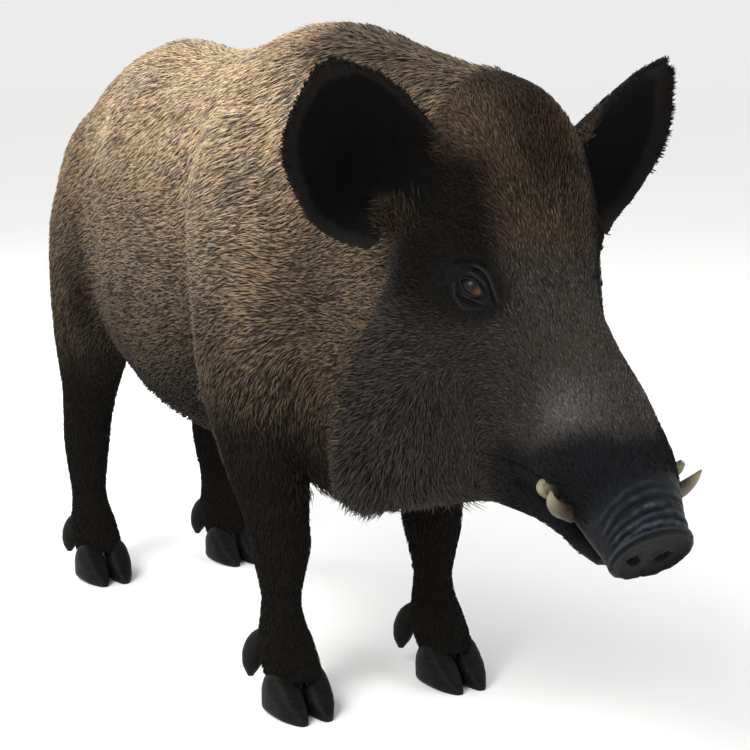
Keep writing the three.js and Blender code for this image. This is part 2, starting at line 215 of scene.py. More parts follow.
def claw(toe, x, lean, count=40, sides=36, trim=.15):
    th = (np.arange(sides) + .5) / sides * 2 * np.pi; c, s = np.cos(th), np.sin(th)
    out = []
    for d, hw, h, sh in rows(CLAW, count):
        d = min(max(d, .0), 84.)
        out.append(np.stack([x + lean * sh + (hw - trim) * power(c, 2.6), np.full(sides, toe + d + (trim if d < 1 else 0)),
                             np.maximum(0, -1.6 + (h + 1.6) / 2 + ((h + 1.6) / 2 - trim) * power(s, np.where(s > 0, 2.2, 6)))], 1))
    return loft(out)


def dewclaw(toe, x, out, inset=0.):
    T = np.array([[x - 7 * out, toe + 112, 88, 9], [x, toe + 122, 76, 14], [x + 4 * out, toe + 129, 60, 15], [x + 6 * out, toe + 133, 42, 12], [x + 7 * out, toe + 135, 27, 4]], float)
    return rod(T, 22, 24, inset)


def ear(front=1.1, back=1.2, nv=44, nu=44):
    v = np.linspace(0, .962, nv)

    def along(T):
        n = len(T); p = (n - 1) * v; i = np.clip(p.astype(int), 0, n - 2); w = (p - i)[:, None]
        q = np.vstack([2 * T[0] - T[1], T, 2 * T[-1] - T[-2]]); a, b, c, d = q[i], q[i + 1], q[i + 2], q[i + 3]
        t0, t1 = .5 * (c - a), .5 * (d - b)
        return b + t0 * w + (-3 * b + 3 * c - 2 * t0 - t1) * w ** 2 + (2 * b - 2 * c + t0 + t1) * w ** 3
    M, L, D = along(EAR_MEDIAL), along(EAR_LATERAL), along(EAR_DEPTH[:, None])
    u = np.linspace(0, 1, nu)
    P = M[:, None] * (1 - u)[None, :, None] + L[:, None] * u[None, :, None] - EAR_OPEN * (D * np.sin(np.pi * u) ** .8)[..., None]
    root = P[0] + (np.array([70, -560, 655]) - P[0]) * .45 - EAR_OPEN * 12
    P = np.concatenate([root[None], P], 0)
    N = unit(np.cross(np.gradient(P, axis=1), np.gradient(P, axis=0)))
    if (N.mean((0, 1)) @ EAR_OPEN) < 0:
        N = -N
    vv = np.concatenate([[0.], v])[:, None]
    deep = smooth(.03, .12, u)[None] * smooth(1., .82, u)[None] * smooth(.97, .80, vv)
    A = P - N * (front + 2.1 * deep)[..., None]; B = P - N * (EAR_THICK - back)
    return loft(np.concatenate([A, B[:, ::-1]], 1)), P, N


def to_frame(V):
    return (V + [0, SHIFT, 0]) / 1000.


def to_draw(V):
    return V * 1000. - [0, SHIFT, 0]


def mesh_object(name, V, F, smooth_faces=True):
    me = bpy.data.meshes.new(name)
    V = np.ascontiguousarray(V, dtype=np.float32); F = np.ascontiguousarray(F, dtype=np.int32)
    me.vertices.add(len(V)); me.vertices.foreach_set("co", V.ravel())
    k = F.shape[1]
    me.loops.add(F.size); me.loops.foreach_set("vertex_index", F.ravel())
    me.polygons.add(len(F)); me.polygons.foreach_set("loop_start", np.arange(0, F.size, k, dtype=np.int32))
    me.update(calc_edges=True)
    if smooth_faces:
        me.polygons.foreach_set("use_smooth", np.ones(len(F), bool))
    ob = bpy.data.objects.new(name, me); bpy.context.scene.collection.objects.link(ob)
    return ob


def evaluated(ob):
    dg = bpy.context.evaluated_depsgraph_get()
    me = bpy.data.meshes.new_from_object(ob.evaluated_get(dg))
    old = ob.data; ob.modifiers.clear(); ob.data = me; bpy.data.meshes.remove(old)
    return ob


def arrays(me):
    V = np.empty(len(me.vertices) * 3, np.float32); me.vertices.foreach_get("co", V)
    E = np.empty(len(me.edges) * 2, np.int32); me.edges.foreach_get("vertices", E)
    return V.reshape(-1, 3).astype(float), E.reshape(-1, 2)


def triangles(me):
    me.calc_loop_triangles()
    T = np.empty(len(me.loop_triangles) * 3, np.int32); me.loop_triangles.foreach_get("vertices", T)
    return T.reshape(-1, 3)


def vnormals(V, T):
    n = np.cross(V[T[:, 1]] - V[T[:, 0]], V[T[:, 2]] - V[T[:, 0]])
    N = np.zeros_like(V)
    for k in range(3):
        for c in range(3):
            N[:, c] += np.bincount(T[:, k], n[:, c], len(V))
    return unit(N)


def relax(V, E, weight, steps, lam=.5, mu=None):
    deg = np.bincount(E.ravel(), minlength=len(V)).astype(float)[:, None]; deg[deg == 0] = 1
    i, j = E[:, 0], E[:, 1]
    w = np.broadcast_to(np.asarray(weight, float).reshape(-1, 1), (len(V), 1))
    for s in range(steps):
        S = np.zeros_like(V)
        for c in range(3):
            S[:, c] = np.bincount(i, V[j, c], len(V)) + np.bincount(j, V[i, c], len(V))
        V = V + w * lam * (S / deg - V)
        if mu is not None:
            for c in range(3):
                S[:, c] = np.bincount(i, V[j, c], len(V)) + np.bincount(j, V[i, c], len(V))
            V = V + w * mu * (S / deg - V)
    return V


def noise(P, scale, seed=0):
    """smooth value noise from -1 to 1, a feature every `scale` mm"""
    Q = P / scale + seed * 17.31; I = np.floor(Q).astype(np.int64); f = Q - I; f = f * f * (3 - 2 * f)

    def h(a, b, c):
        n = (a * 374761393 + b * 668265263 + c * 2147483647 + seed * 1274126177) & 0xffffffff
        n = ((n ^ (n >> 13)) * 1274126177) & 0xffffffff
        return ((n ^ (n >> 16)) & 0xffff) / 32767.5 - 1
    r = 0
    for dx in (0, 1):
        for dy in (0, 1):
            for dz in (0, 1):
                w = (f[:, 0] if dx else 1 - f[:, 0]) * (f[:, 1] if dy else 1 - f[:, 1]) * (f[:, 2] if dz else 1 - f[:, 2])
                r = r + w * h(I[:, 0] + dx, I[:, 1] + dy, I[:, 2] + dz)
    return r


def bump(P, c, r):
    """1 at the centre, 0 beyond about two radii; mirrored to both sides"""
    Q = P.copy(); Q[:, 0] = np.abs(Q[:, 0])
    return np.exp(-(((Q - np.array(c)) / np.array(r)) ** 2).sum(1))


# ------------------------------------------------------------------ skin: one surface
def inset_axial(y):
    return float(np.interp(y, [-870, -800, -700, -600, -420, -200, 500], [.8, 1.6, 2.6, 4.0, 6.0, 7.0, 6.5]))


def inset_limb(z):
    return float(np.interp(z, [40, 100, 260, 420, 600], [1.6, 2.0, 2.8, 6.0, 7.0]))


def build_skin():
    parts = [axial(AXIAL, 220, 96, inset_axial), axial(JAW, 70, 64, lambda y: 2.2), rod(TAIL, 60, 24, 4.5)]
    E, _, _ = ear()
    for _, side in SIDES:
        for p in (upright(RUFF, 60, 48, lambda z: 8.), upright(FRONT_LIMB, 190, 64, inset_limb), upright(HIND_LIMB, 190, 64, inset_limb), E):
            parts.append(p if side > 0 else flip(*p))
    V, F = join(parts)
    ob = mesh_object("boar_skin", to_frame(V), F)
    m = ob.modifiers.new("r", 'REMESH'); m.mode = 'VOXEL'; m.voxel_size = VOXEL; m.adaptivity = 0
    evaluated(ob)
    V, E = arrays(ob.data); P = to_draw(V)
    k = 3.4 / (VOXEL * 1000)
    # junctions of limbs, cheeks and ears with the body flow into each other
    ax = np.abs(P[:, 0]); y, z = P[:, 1], P[:, 2]
    shoulder = smooth(-470, -400, y) * smooth(0, -70, y) * smooth(300, 380, z)
    haunch = smooth(120, 190, y) * smooth(300, 380, z)
    cheek = smooth(-660, -600, y) * smooth(-330, -380, y) * smooth(700, 640, z)
    earz = smooth(150, 128, ax) * smooth(-700, -660, y) * smooth(-480, -520, y) * smooth(560, 620, z)
    jaw = smooth(-700, -650, y) * smooth(-520, -580, y) * smooth(430, 400, z)
    P = relax(P, E, np.clip(shoulder + haunch, 0, 1) * .98, int(90 * k * k), .5)
    P = relax(P, E, np.clip(cheek + jaw, 0, 1) * .9, int(34 * k * k), .5)
    P = relax(P, E, np.clip(earz, 0, 1) * .6, int(10 * k * k) + 1, .5)
    P = relax(P, E, 1., 3, .5, -.52)
    # broad forms
    T = triangles(ob.data); N = vnormals(P, T)
    D = np.zeros(len(P))
    for c, r, a in (((150, -215, 610), (60, 60, 120), 5), ((170, -110, 560), (60, 42, 150), -6), ((150, -330, 520), (60, 60, 60), 4),
                    ((130, 225, 560), (70, 45, 120), -6), ((120, 245, 700), (60, 40, 60), -5), ((140, 380, 600), (60, 90, 120), 4),
                    ((120, -180, 400), (60, 40, 50), 4), ((88, -640, 618), (26, 30, 16), 5), ((112, -628, 520), (30, 48, 30), 5),
                    ((70, -715, 520), (30, 30, 40), -4), ((100, -655, 530), (24, 26, 18), -3), ((60, -790, 440), (24, 45, 28), -3),
                    ((62, -776, 404), (22, 24, 20), 6), ((0, -700, 640), (34, 60, 60), -3), ((0, -780, 520), (20, 60, 60), 2),
                    ((0, -590, 800), (50, 60, 30), 3), ((70, 470, 420), (36, 40, 70), 3)):
        D += a * bump(P, c, r)
    D += .9 * noise(P, 55, 3) * smooth(330, 420, z) * smooth(-560, -450, y) + .5 * noise(P, 22, 4) * smooth(-600, -480, y) * smooth(300, 380, z)
    P = P + N * D[:, None]
    ob.data.vertices.foreach_set("co", np.ascontiguousarray(to_frame(P), dtype=np.float32).ravel()); ob.data.update()
    # fewer triangles where the form is plain
    goal = 118000
    m = ob.modifiers.new("d", 'DECIMATE'); m.ratio = min(1., goal / max(1, len(triangles(ob.data)))); m.use_collapse_triangulate = True
    evaluated(ob)
    # finer mesh on the nose and round the eyes, then the small forms
    bm = bmesh.new(); bm.from_mesh(ob.data)

    def refine(centre, radius, longest, times):
        c = Vector(to_frame(np.array([centre]))[0])
        for _ in range(times):
            ed = [e for e in bm.edges if ((e.verts[0].co + e.verts[1].co) / 2 - c).length < radius / 1000 and e.calc_length() > longest / 1000]
            if ed:
                bmesh.ops.subdivide_edges(bm, edges=ed, cuts=1, use_grid_fill=True)
                bmesh.ops.triangulate(bm, faces=[f for f in bm.faces if len(f.verts) > 3])
    refine((0, -845, 345), 90, 2.2, 3)
    for _, s in SIDES:
        c_ = EYE * [s, 1, 1] + EYE_N * [s, 1, 1] * 18
        refine(c_, 44, 1.5, 4)
        refine((s * 60, -785, 378), 40, 2.6, 2)
    bm.to_mesh(ob.data); bm.free()
    V, E = arrays(ob.data); P = to_draw(V); T = triangles(ob.data)
    near = np.maximum(smooth(104, 84, np.linalg.norm(P - [0, -845, 345], axis=1)),
                      np.maximum(smooth(56, 44, np.linalg.norm(P - EYE * [1.2, 1, 1], axis=1)), smooth(56, 44, np.linalg.norm(P - EYE * [-1.2, 1, 1], axis=1))))
    P = relax(P, E, near, 4, .5)
    P = nose(P, T)
    P = mouth(P, T)
    for _, s in SIDES:
        P = lids(P, T, s)
    ob.data.vertices.foreach_set("co", np.ascontiguousarray(to_frame(P), dtype=np.float32).ravel()); ob.data.update()
    ob.data.polygons.foreach_set("use_smooth", np.ones(len(ob.data.polygons), bool))
    return ob


DISC_C = np.array([0, -861.5, 323.]); DISC_U = unit(np.array([0, -37., 56.])); DISC_N = np.array([0, -DISC_U[2], DISC_U[1]])   # up across the disc, and out of it


WRINKLES = ((5.2, 1.0, 1.2, 3.4), (12.5, .95, 1.3, 3.4), (20, .8, 1.3, 3.6), (28.5, .6, 1.4, 3.6), (38, .3, 1.5, 3.6))


def wrinkles(P):
    """grooves and crests over the top of the snout, from 0 to 1; they run into the rim at the sides"""
    d = P - DISC_C; s = -(d @ DISC_N); t = d @ DISC_U; x = P[:, 0]
    rho = np.sqrt((x / 50) ** 2 + (t / 33.6) ** 2); over = smooth(5, 26, t + .05 * s) * smooth(.7, .9, rho)
    g = np.zeros(len(P)); c = np.zeros(len(P))
    for k, (sk, a, wd, rise) in enumerate(WRINKLES):
        ss = s + 1.7 * noise(P, 22, 20 + k) + 4.5 * (np.abs(x) / 50) ** 2 + .8 * noise(P, 7, 30 + k)
        m = a * np.clip(.75 + .7 * noise(P * [1, .3, .3], 13, 50 + k), .1, 1.25)
        g = np.maximum(g, m * np.exp(-((ss - sk) / wd) ** 2)); c = np.maximum(c, m * np.exp(-((ss - sk - rise) / 2.0) ** 2))
    return g * over, c * over


def nose(P, T):
    N = vnormals(P, T)
    d = P - DISC_C; s = -(d @ DISC_N); t = d @ DISC_U; x = P[:, 0]
    rho = np.sqrt((x / 50) ** 2 + (t / 33.6) ** 2)
    front = smooth(12, 3, s); up = smooth(-20, 8, t)
    g, c = wrinkles(P)
    # the flange of the disc stands proud of the snout behind it
    out = (1.0 + 1.2 * up) * np.exp(-((s - 2.0) / 2.8) ** 2) * smooth(.8, 1., rho) - 2.6 * g + .9 * c
    out += .45 * noise(P, 5, 41) * up * smooth(60, 30, s) * smooth(4, 9, s)
    P = P + N * out[:, None]
    # face of the disc: dished, with a rim and two deep nostrils
    face = (s < 9) & (rho < 1.15)
    dish = -2.4 * smooth(.95, .6, rho) * front + .5 * noise(P, 12, 44) * front
    rim = 1.5 * np.exp(-((rho - .92) / .08) ** 2) * front
    no = np.zeros(len(P))
    for sx in (-1, 1):
        u, w = x - sx * 18, t + 7
        e = np.sqrt(((u * .94 + sx * w * .34) / 8.6) ** 2 + ((w * .94 - sx * u * .34) / 5.6) ** 2)
        no += -14 * smooth(1.05, .45, e) + 1.3 * np.exp(-((e - 1.28) / .22) ** 2)
        no += -1.2 * np.exp(-((w - 8 - .10 * np.abs(u)) / 1.8) ** 2) * smooth(16, 9, np.abs(u))      # crease over each nostril
    g = -1.2 * np.exp(-(x / 2.2) ** 2) * smooth(-4, -16, t)          # groove under the nostrils
    add = np.where(face, dish + rim + (no + g) * front, 0)
    return P + DISC_N * add[:, None]


# the edge of the upper lip: y against z, and the bare pink strip that shows under it
LIP_Y = [-862, -850, -832, -818, -805, -789, -776, -745, -700, -640]; LIP_Z = [310, 321, 331, 345, 356, 374, 389, 394, 398, 404]


def mouth(P, T):
    """the lip line runs back from the gap of the jaws, and the lips have edges"""
    N = vnormals(P, T); y, z = P[:, 1], P[:, 2]; ax = np.abs(P[:, 0])
    line = np.interp(y, LIP_Y, LIP_Z)
    run = smooth(-640, -672, y) * smooth(-800, -778, y) * smooth(30, 44, ax)
    d = z - line
    out = -3.0 * np.exp(-(d / 2.6) ** 2) * run + 1.4 * np.exp(-((d - 7) / 4) ** 2) * run + 1.0 * np.exp(-((d + 7) / 4) ** 2) * run
    return P + N * out[:, None]


EYE_N = unit(np.array([.80, -.58, .14]))       # from the ball's centre to the middle of the opening, on the left
EYE_A = np.array([.455, .745, .488])           # towards the outer corner
EYE_B = np.array([-.388, -.327, .862])         # up across the lids
# folds of the lids as lines in the plane of the opening, mm towards the outer corner and up: height, width, points
FOLDS = ((2.0, 1.9, [(14, 8), (8, 13), (-1.7, 13.7), (-12, 10.9), (-17.4, 7.9)]),
         (2.8, 2.2, [(12, 21), (1.4, 23), (-7.9, 21.8), (-15.2, 17.4), (-23.8, 11.2), (-30.9, 5.5), (-39, 1.2)]),
         (-2.2, 1.7, [(13, 15), (4, 18.4), (-6, 17.8), (-14, 13.8), (-21, 9), (-28, 3), (-35, -2)]),
         (1.3, 1.5, [(12, -9.5), (4, -12), (-2.5, -11), (-11.2, -8.9), (-17.9, -6.9), (-24.4, -7.4)]),
         (-1.8, 1.6, [(15, -12), (6, -15.4), (-4, -15.4), (-12, -12.9), (-20, -10.6), (-27, -11)]),
         (1.5, 1.8, [(19, -2), (16.4, -10.2), (9.8, -16.6), (2.7, -20.3), (-3.5, -22.9), (-9.9, -20.2), (-16, -16.4)]),
         (-2.0, 2.2, [(30, 9), (23.3, 17.9), (10.4, 25.4), (1, 27.6), (-9, 26.4)]),
         (1.4, 3.0, [(30, 17), (20, 26), (6, 32), (-8, 31)]))


def eye_frame(side):
    m = np.array([side, 1, 1]); n = EYE_N * m
    a = unit(EYE_A * m - n * ((EYE_A * m) @ n)); b = np.cross(n, a); b = b if b[2] > 0 else -b
    return EYE * m, n, a, b


def line_distance(p, q, pts):
    best = np.full(len(p), 1e9)
    for (x0, y0), (x1, y1) in zip(pts[:-1], pts[1:]):
        dx, dy = x1 - x0, y1 - y0; t = np.clip(((p - x0) * dx + (q - y0) * dy) / (dx * dx + dy * dy), 0, 1)
        best = np.minimum(best, np.hypot(p - x0 - t * dx, q - y0 - t * dy))
    ends = np.minimum(np.hypot(p - pts[0][0], q - pts[0][1]), np.hypot(p - pts[-1][0], q - pts[-1][1]))
    return best, smooth(0, 7, ends + best * 0)


LID_A, LID_UP, LID_DOWN = 14.2, 6.9, 6.0


def opening(p, q):
    """about the distance outside the opening of the lids, negative inside"""
    t = np.clip(np.abs(p / LID_A), 0, 1); half = np.where(q > 0, LID_UP, LID_DOWN) * (1 - t ** 2.1) ** .9
    out = np.abs(q) - half
    return np.where(np.abs(p) < LID_A, out, np.hypot(np.abs(p) - LID_A, q))


def lids(P, T, side):
    c, n, a, b = eye_frame(side)
    d = P - c; h0 = d @ n; p = d @ a; q = d @ b; r = np.hypot(p, q)
    near = (r < 52) & (h0 > -22)
    R = EYE_R
    ball = np.sqrt(np.clip(R * R - r * r, 0, None)); dist = opening(p, q)
    shell = np.sqrt(np.clip((R + 1.9) ** 2 - np.clip(r, 0, 14.5) ** 2, 0, None))
    k = smooth(34, 14, r)
    hh = h0 * (1 - k) + np.minimum(h0, shell + .16 * np.clip(r - 12, 0, None)) * k
    hh = np.where(r < 14.5, shell, hh)
    hh += 1.1 * np.exp(-((dist - 1.6) / 1.3) ** 2) - .5 * np.exp(-((dist - 4.2) / 1.2) ** 2) * (r < 24)
    for amp, wd, pts in FOLDS:
        dd, fade = line_distance(p, q, pts)
        hh += amp * np.exp(-(dd / wd) ** 2) * (.25 + .75 * fade)
    # inside the opening the skin folds in under the ball
    hh = hh + (ball - 7.0 - hh) * smooth(.55, -.75, dist)
    return P + n * np.where(near, hh - h0, 0)[:, None]


skin = build_skin()
V, E = arrays(skin.data); SP = to_draw(V); ST = triangles(skin.data); SN = vnormals(SP, ST)
print("skin", len(SP), "vertices", len(ST), "triangles")


# ------------------------------------------------------------------ camera
AZ, EL, ROLL = -29.438, 10.081, -.036
a_, e_ = math.radians(AZ), math.radians(EL)
back = Vector((math.sin(a_) * math.cos(e_), -math.cos(a_) * math.cos(e_), math.sin(e_)))
right = (-back).cross(Vector((0, 0, 1))).normalized(); upv = right.cross(-back).normalized()
cam_data = bpy.data.cameras.new("camera"); cam = bpy.data.objects.new("camera", cam_data); bpy.context.scene.collection.objects.link(cam)
cam_data.sensor_width = 36; cam_data.sensor_fit = 'HORIZONTAL'; cam_data.lens = 1783.4 / 750 * 36
cam_data.clip_start = .05; cam_data.clip_end = 50
cam.matrix_world = Matrix(((right.x, upv.x, back.x, -1.0761), (right.y, upv.y, back.y, -2.03409), (right.z, upv.z, back.z, .8080), (0, 0, 0, 1))) @ Matrix.Rotation(math.radians(ROLL), 4, 'Z')
bpy.context.scene.camera = cam


# ------------------------------------------------------------------ light and floor
def area(name, where, target, size, power_, colour=(1, 1, 1)):
    d = bpy.data.lights.new(name, 'AREA'); d.shape = 'DISK'; d.size = size; d.energy = power_; d.color = colour
    o = bpy.data.objects.new(name, d); bpy.context.scene.collection.objects.link(o)
    o.location = where; o.rotation_euler = (Vector(target) - Vector(where)).to_track_quat('-Z', 'Y').to_euler()


area("key", (-3.4, -1.6, 3.6), (0, .1, .45), 2.6, 205, (1, .985, .96))
area("fill", (2.4, -3.4, 1.9), (0, -.3, .45), 2.8, 36, (.95, .97, 1))
area("rear", (-1.2, 3.6, 2.8), (0, .3, .5), 2.2, 60)
world = bpy.context.scene.world or bpy.data.worlds.new("world"); bpy.context.scene.world = world
world.use_nodes = True; world.node_tree.nodes["Background"].inputs[0].default_value = (1, 1, 1, 1); world.node_tree.nodes["Background"].inputs[1].default_value = .84

bpy.context.scene.view_settings.view_transform = 'Standard'


# ------------------------------------------------------------------ materials
def srgb(*c):
    c = np.array(c, float) / 255
    return np.where(c <= .04045, c / 12.92, ((c + .055) / 1.055) ** 2.4)


class Mat:
    def __init__(self, name, rough, spec=.5):
        self.m = bpy.data.materials.new(name); self.m.use_nodes = True; self.t = self.m.node_tree; self.s = self.t.nodes["Principled BSDF"]
        self.s.inputs["Roughness"].default_value = rough; self.s.inputs["Specular IOR Level"].default_value = spec

    def n(self, kind, **kw):
        o = self.t.nodes.new("ShaderNode" + kind)
        for k, v in kw.items():
            if hasattr(o, k): setattr(o, k, v)
            else: o.inputs[k.replace("_", " ")].default_value = v
        return o

    def l(self, a, b): self.t.links.new(a, b)

    def coords(self, scale=(1, 1, 1)):
        c = self.n("TexCoord"); m = self.n("Mapping"); m.inputs["Scale"].default_value = scale; self.l(c.outputs["Object"], m.inputs[0]); return m.outputs[0]

    def noise(self, scale, detail=3, rough=.55, vec=None):
        o = self.n("TexNoise"); o.inputs["Scale"].default_value = scale; o.inputs["Detail"].default_value = detail; o.inputs["Roughness"].default_value = rough
        self.l(vec if vec is not None else self.coords(), o.inputs["Vector"]); return o.outputs["Fac"]

    def ramp(self, fac, stops):
        o = self.n("ValToRGB"); e = o.color_ramp.elements
        while len(e) < len(stops): e.new(.5)
        for el, (p, c) in zip(e, stops):
            el.position = p; el.color = (*c, 1) if len(c) == 3 else c
        self.l(fac, o.inputs[0]); return o.outputs[0]

    def grey(self, fac, a, b, lo=0., hi=1.):
        o = self.n("MapRange"); o.inputs["From Min"].default_value = a; o.inputs["From Max"].default_value = b; o.inputs["To Min"].default_value = lo; o.inputs["To Max"].default_value = hi
        self.l(fac, o.inputs[0]); return o.outputs[0]

    def mix(self, fac, a, b, mode='MIX'):
        o = self.n("Mix"); o.data_type = 'RGBA'; o.blend_type = mode
        for v, i in ((fac, 0), (a, 6), (b, 7)):
            if isinstance(v, (int, float)): o.inputs[i].default_value = v
            elif isinstance(v, (tuple, list, np.ndarray)): o.inputs[i].default_value = (*[float(x) for x in v], 1)
            else: self.l(v, o.inputs[i])
        return o.outputs[2]

    def math(self, op, a, b=0.):
        o = self.n("Math"); o.operation = op
        for v, i in ((a, 0), (b, 1)):
            if isinstance(v, (int, float)): o.inputs[i].default_value = v
            else: self.l(v, o.inputs[i])
        return o.outputs[0]

    def attr(self, name):
        o = self.n("Attribute"); o.attribute_name = name; return o

    def colour(self, c): self.l(c, self.s.inputs["Base Color"])

    def rough(self, r): self.l(r, self.s.inputs["Roughness"])

    def bump(self, h, dist, strength=1.):
        o = self.n("Bump"); o.inputs["Distance"].default_value = dist; o.inputs["Strength"].default_value = strength; self.l(h, o.inputs["Height"])
        last = getattr(self, "_b", None)
        if last is not None: self.l(last, o.inputs["Normal"])
        self._b = o.outputs[0]; 
        for k in list(self.s.inputs["Normal"].links): self.t.links.remove(k)
        self.l(o.outputs[0], self.s.inputs["Normal"])


def set_attr(me, name, data, kind='FLOAT_COLOR'):
    a = me.attributes.new(name, kind, 'POINT')
    if kind == 'FLOAT_COLOR':
        c = np.ones((len(data), 4), np.float32); c[:, :data.shape[1]] = data; a.data.foreach_set("color", c.ravel())
    elif kind == 'FLOAT':
        a.data.foreach_set("value", np.ascontiguousarray(data, dtype=np.float32))
    else:
        a.data.foreach_set("vector", np.ascontiguousarray(data, dtype=np.float32).ravel())


# skin: the colour of the hide comes from the markings, shared with the coat
mat_skin = Mat("hide", .6, .09)
col = mat_skin.attr("pelt").outputs["Color"]
f1 = mat_skin.noise(420, 3, .6)
mat_skin.colour(mat_skin.mix(mat_skin.grey(f1, .35, .7, 0., .5), col, (.003, .003, .003)))
wet = mat_skin.attr("bare").outputs["Fac"]
mat_skin.rough(mat_skin.grey(wet, 0, 1, .8, .36))
mat_skin.bump(mat_skin.noise(900, 4, .6), .0007, .7)
vo = mat_skin.n("TexVoronoi"); vo.feature = 'DISTANCE_TO_EDGE'; vo.inputs["Scale"].default_value = 420; mat_skin.l(mat_skin.coords(), vo.inputs["Vector"])
mat_skin.bump(mat_skin.grey(vo.outputs["Distance"], 0, .12), .0006, .8)

mat_ivory = Mat("ivory", .34, .5)
L = mat_ivory.attr("along").outputs["Fac"]
st = mat_ivory.noise(60, 4, .6, mat_ivory.coords((3, 3, 12)))
# colour along the tusk, dark at the root and ivory at the tip: the near-black to olive lower part is painted shadow
# under the lip
c = mat_ivory.ramp(L, [(0, srgb(22, 19, 14)), (.42, srgb(38, 34, 25)), (.64, srgb(76, 70, 52)), (.88, srgb(134, 127, 100)), (1, srgb(112, 105, 83))])
c = mat_ivory.mix(mat_ivory.grey(st, .45, .75, 0, .5), c, srgb(78, 66, 40))
rg = mat_ivory.n("TexWave"); rg.wave_type = 'BANDS'; rg.bands_direction = 'X'; rg.inputs["Scale"].default_value = 14; rg.inputs["Distortion"].default_value = 2.5; rg.inputs["Detail"].default_value = 2
cb = mat_ivory.n("CombineXYZ"); mat_ivory.l(L, cb.inputs[0]); mat_ivory.l(cb.outputs[0], rg.inputs["Vector"])
c = mat_ivory.mix(mat_ivory.grey(rg.outputs["Fac"], .1, .9, 0, .16), c, srgb(120, 100, 60))
mat_ivory.colour(c); mat_ivory.rough(mat_ivory.grey(st, .3, .7, .22, .45)); mat_ivory.bump(rg.outputs["Fac"], .0004, .5); mat_ivory.bump(mat_ivory.noise(500, 3), .0003, .5)

mat_hoof = Mat("horn", .5, .08)
zz = mat_hoof.coords((6, 6, 46)); rings_ = mat_hoof.noise(9, 4, .5, zz); streak = mat_hoof.noise(16, 4, .6, mat_hoof.coords((34, 34, 3)))
c = mat_hoof.ramp(rings_, [(.3, srgb(7, 7, 8)), (.5, srgb(12, 12, 12)), (.72, srgb(19, 19, 19))])
c = mat_hoof.mix(mat_hoof.grey(streak, .4, .75, 0, .5), c, srgb(25, 25, 24))
hz = mat_hoof.n("SeparateXYZ"); mat_hoof.l(mat_hoof.n("TexCoord").outputs["Object"], hz.inputs[0])
c = mat_hoof.mix(mat_hoof.grey(mat_hoof.math('ADD', hz.outputs[2], mat_hoof.grey(streak, .3, .7, -.004, .004)), .010, .0, 0, .5), c, srgb(38, 36, 34))
c = mat_hoof.mix(mat_hoof.grey(hz.outputs[2], .040, .056, 0, .8), c, srgb(22, 20, 18))
mat_hoof.colour(c); mat_hoof.rough(mat_hoof.grey(streak, .3, .7, .38, .62))
mat_hoof.bump(rings_, .0016, .8); mat_hoof.bump(streak, .0008, .6)

# eye: distance and direction from the gaze axis are stored on the ball, so the iris sits where it looks
mat_eye = Mat("eye", .3, .14)
ga = mat_eye.attr("gaze"); sp = mat_eye.n("SeparateXYZ"); mat_eye.l(ga.outputs["Vector"], sp.inputs[0])
r_ = mat_eye.math('SQRT', mat_eye.math('ADD', mat_eye.math('MULTIPLY', sp.outputs[0], sp.outputs[0]), mat_eye.math('MULTIPLY', sp.outputs[1], sp.outputs[1])))
ang = mat_eye.math('ARCTAN2', sp.outputs[1], sp.outputs[0])
cv = mat_eye.n("CombineXYZ"); mat_eye.l(mat_eye.math('COSINE', ang), cv.inputs[0]); mat_eye.l(mat_eye.math('SINE', ang), cv.inputs[1]); mat_eye.l(mat_eye.math('MULTIPLY', r_, .22), cv.inputs[2])
fib = mat_eye.noise(11, 4, .65, cv.outputs[0])
iris = mat_eye.ramp(r_, [(0, srgb(18, 18, 18)), (.5, srgb(20, 20, 19)), (.6, srgb(40, 27, 19)), (.7, srgb(74, 47, 32)), (.86, srgb(98, 63, 43)), (.95, srgb(66, 45, 33)), (1, srgb(34, 26, 21))])
iris = mat_eye.mix(mat_eye.grey(fib, .35, .7, 0, .5), iris, srgb(56, 30, 16))
iris = mat_eye.mix(mat_eye.grey(r_, .62, .54, 0, 1), iris, srgb(19, 19, 19))
white = mat_eye.mix(mat_eye.grey(mat_eye.noise(300, 3), .4, .7), srgb(58, 46, 38), srgb(34, 26, 21))
mat_eye.colour(mat_eye.mix(mat_eye.grey(r_, .88, .98, 0, 1), iris, white))
mat_eye.s.inputs["Coat Weight"].default_value = .0; mat_eye.s.inputs["Coat Roughness"].default_value = .12


# ------------------------------------------------------------------ eyes, tusks, hooves
def put(ob, mat, slot, *nodes):
    ob.data.materials.clear(); ob.data.materials.append(mat.m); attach(ob, "root")
    if nodes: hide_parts(*nodes)


def eyeball(side, label):
    c, n, a, b = eye_frame(side)
    g = unit(n + a * .34 + b * .05)                  # where it looks: behind the opening's middle
    ga_ = unit(a - g * (a @ g)); gb = np.cross(g, ga_); gb = gb if gb @ b > 0 else -gb
    th = np.linspace(0, np.pi, 73) ** 1.0; ph = np.arange(72) / 72 * 2 * np.pi
    rings = []
    for t in th[1:-1]:
        rr = EYE_R * math.sin(t); hh = EYE_R * math.cos(t)
        cornea = .9 * np.clip(1 - (rr / 10.5) ** 2, 0, 1) if t < np.pi / 2 else 0
        rings.append(c + g * (hh + cornea - .7) + rr * .985 * (np.outer(np.cos(ph), ga_) + np.outer(np.sin(ph), gb)))
    V, F = loft(rings)
    ob = mesh_object("eye_" + label, to_frame(V), F)
    d = V - c; s = np.stack([(d @ ga_) / 16.4, (d @ gb) / 15.6, (d @ g) / 16], 1)
    s[d @ g < 0] *= 3
    set_attr(ob.data, "gaze", s, 'FLOAT_VECTOR')
    put(ob, mat_eye, "eye", "eye_" + label)


for label, s in SIDES:
    eyeball(s, label)

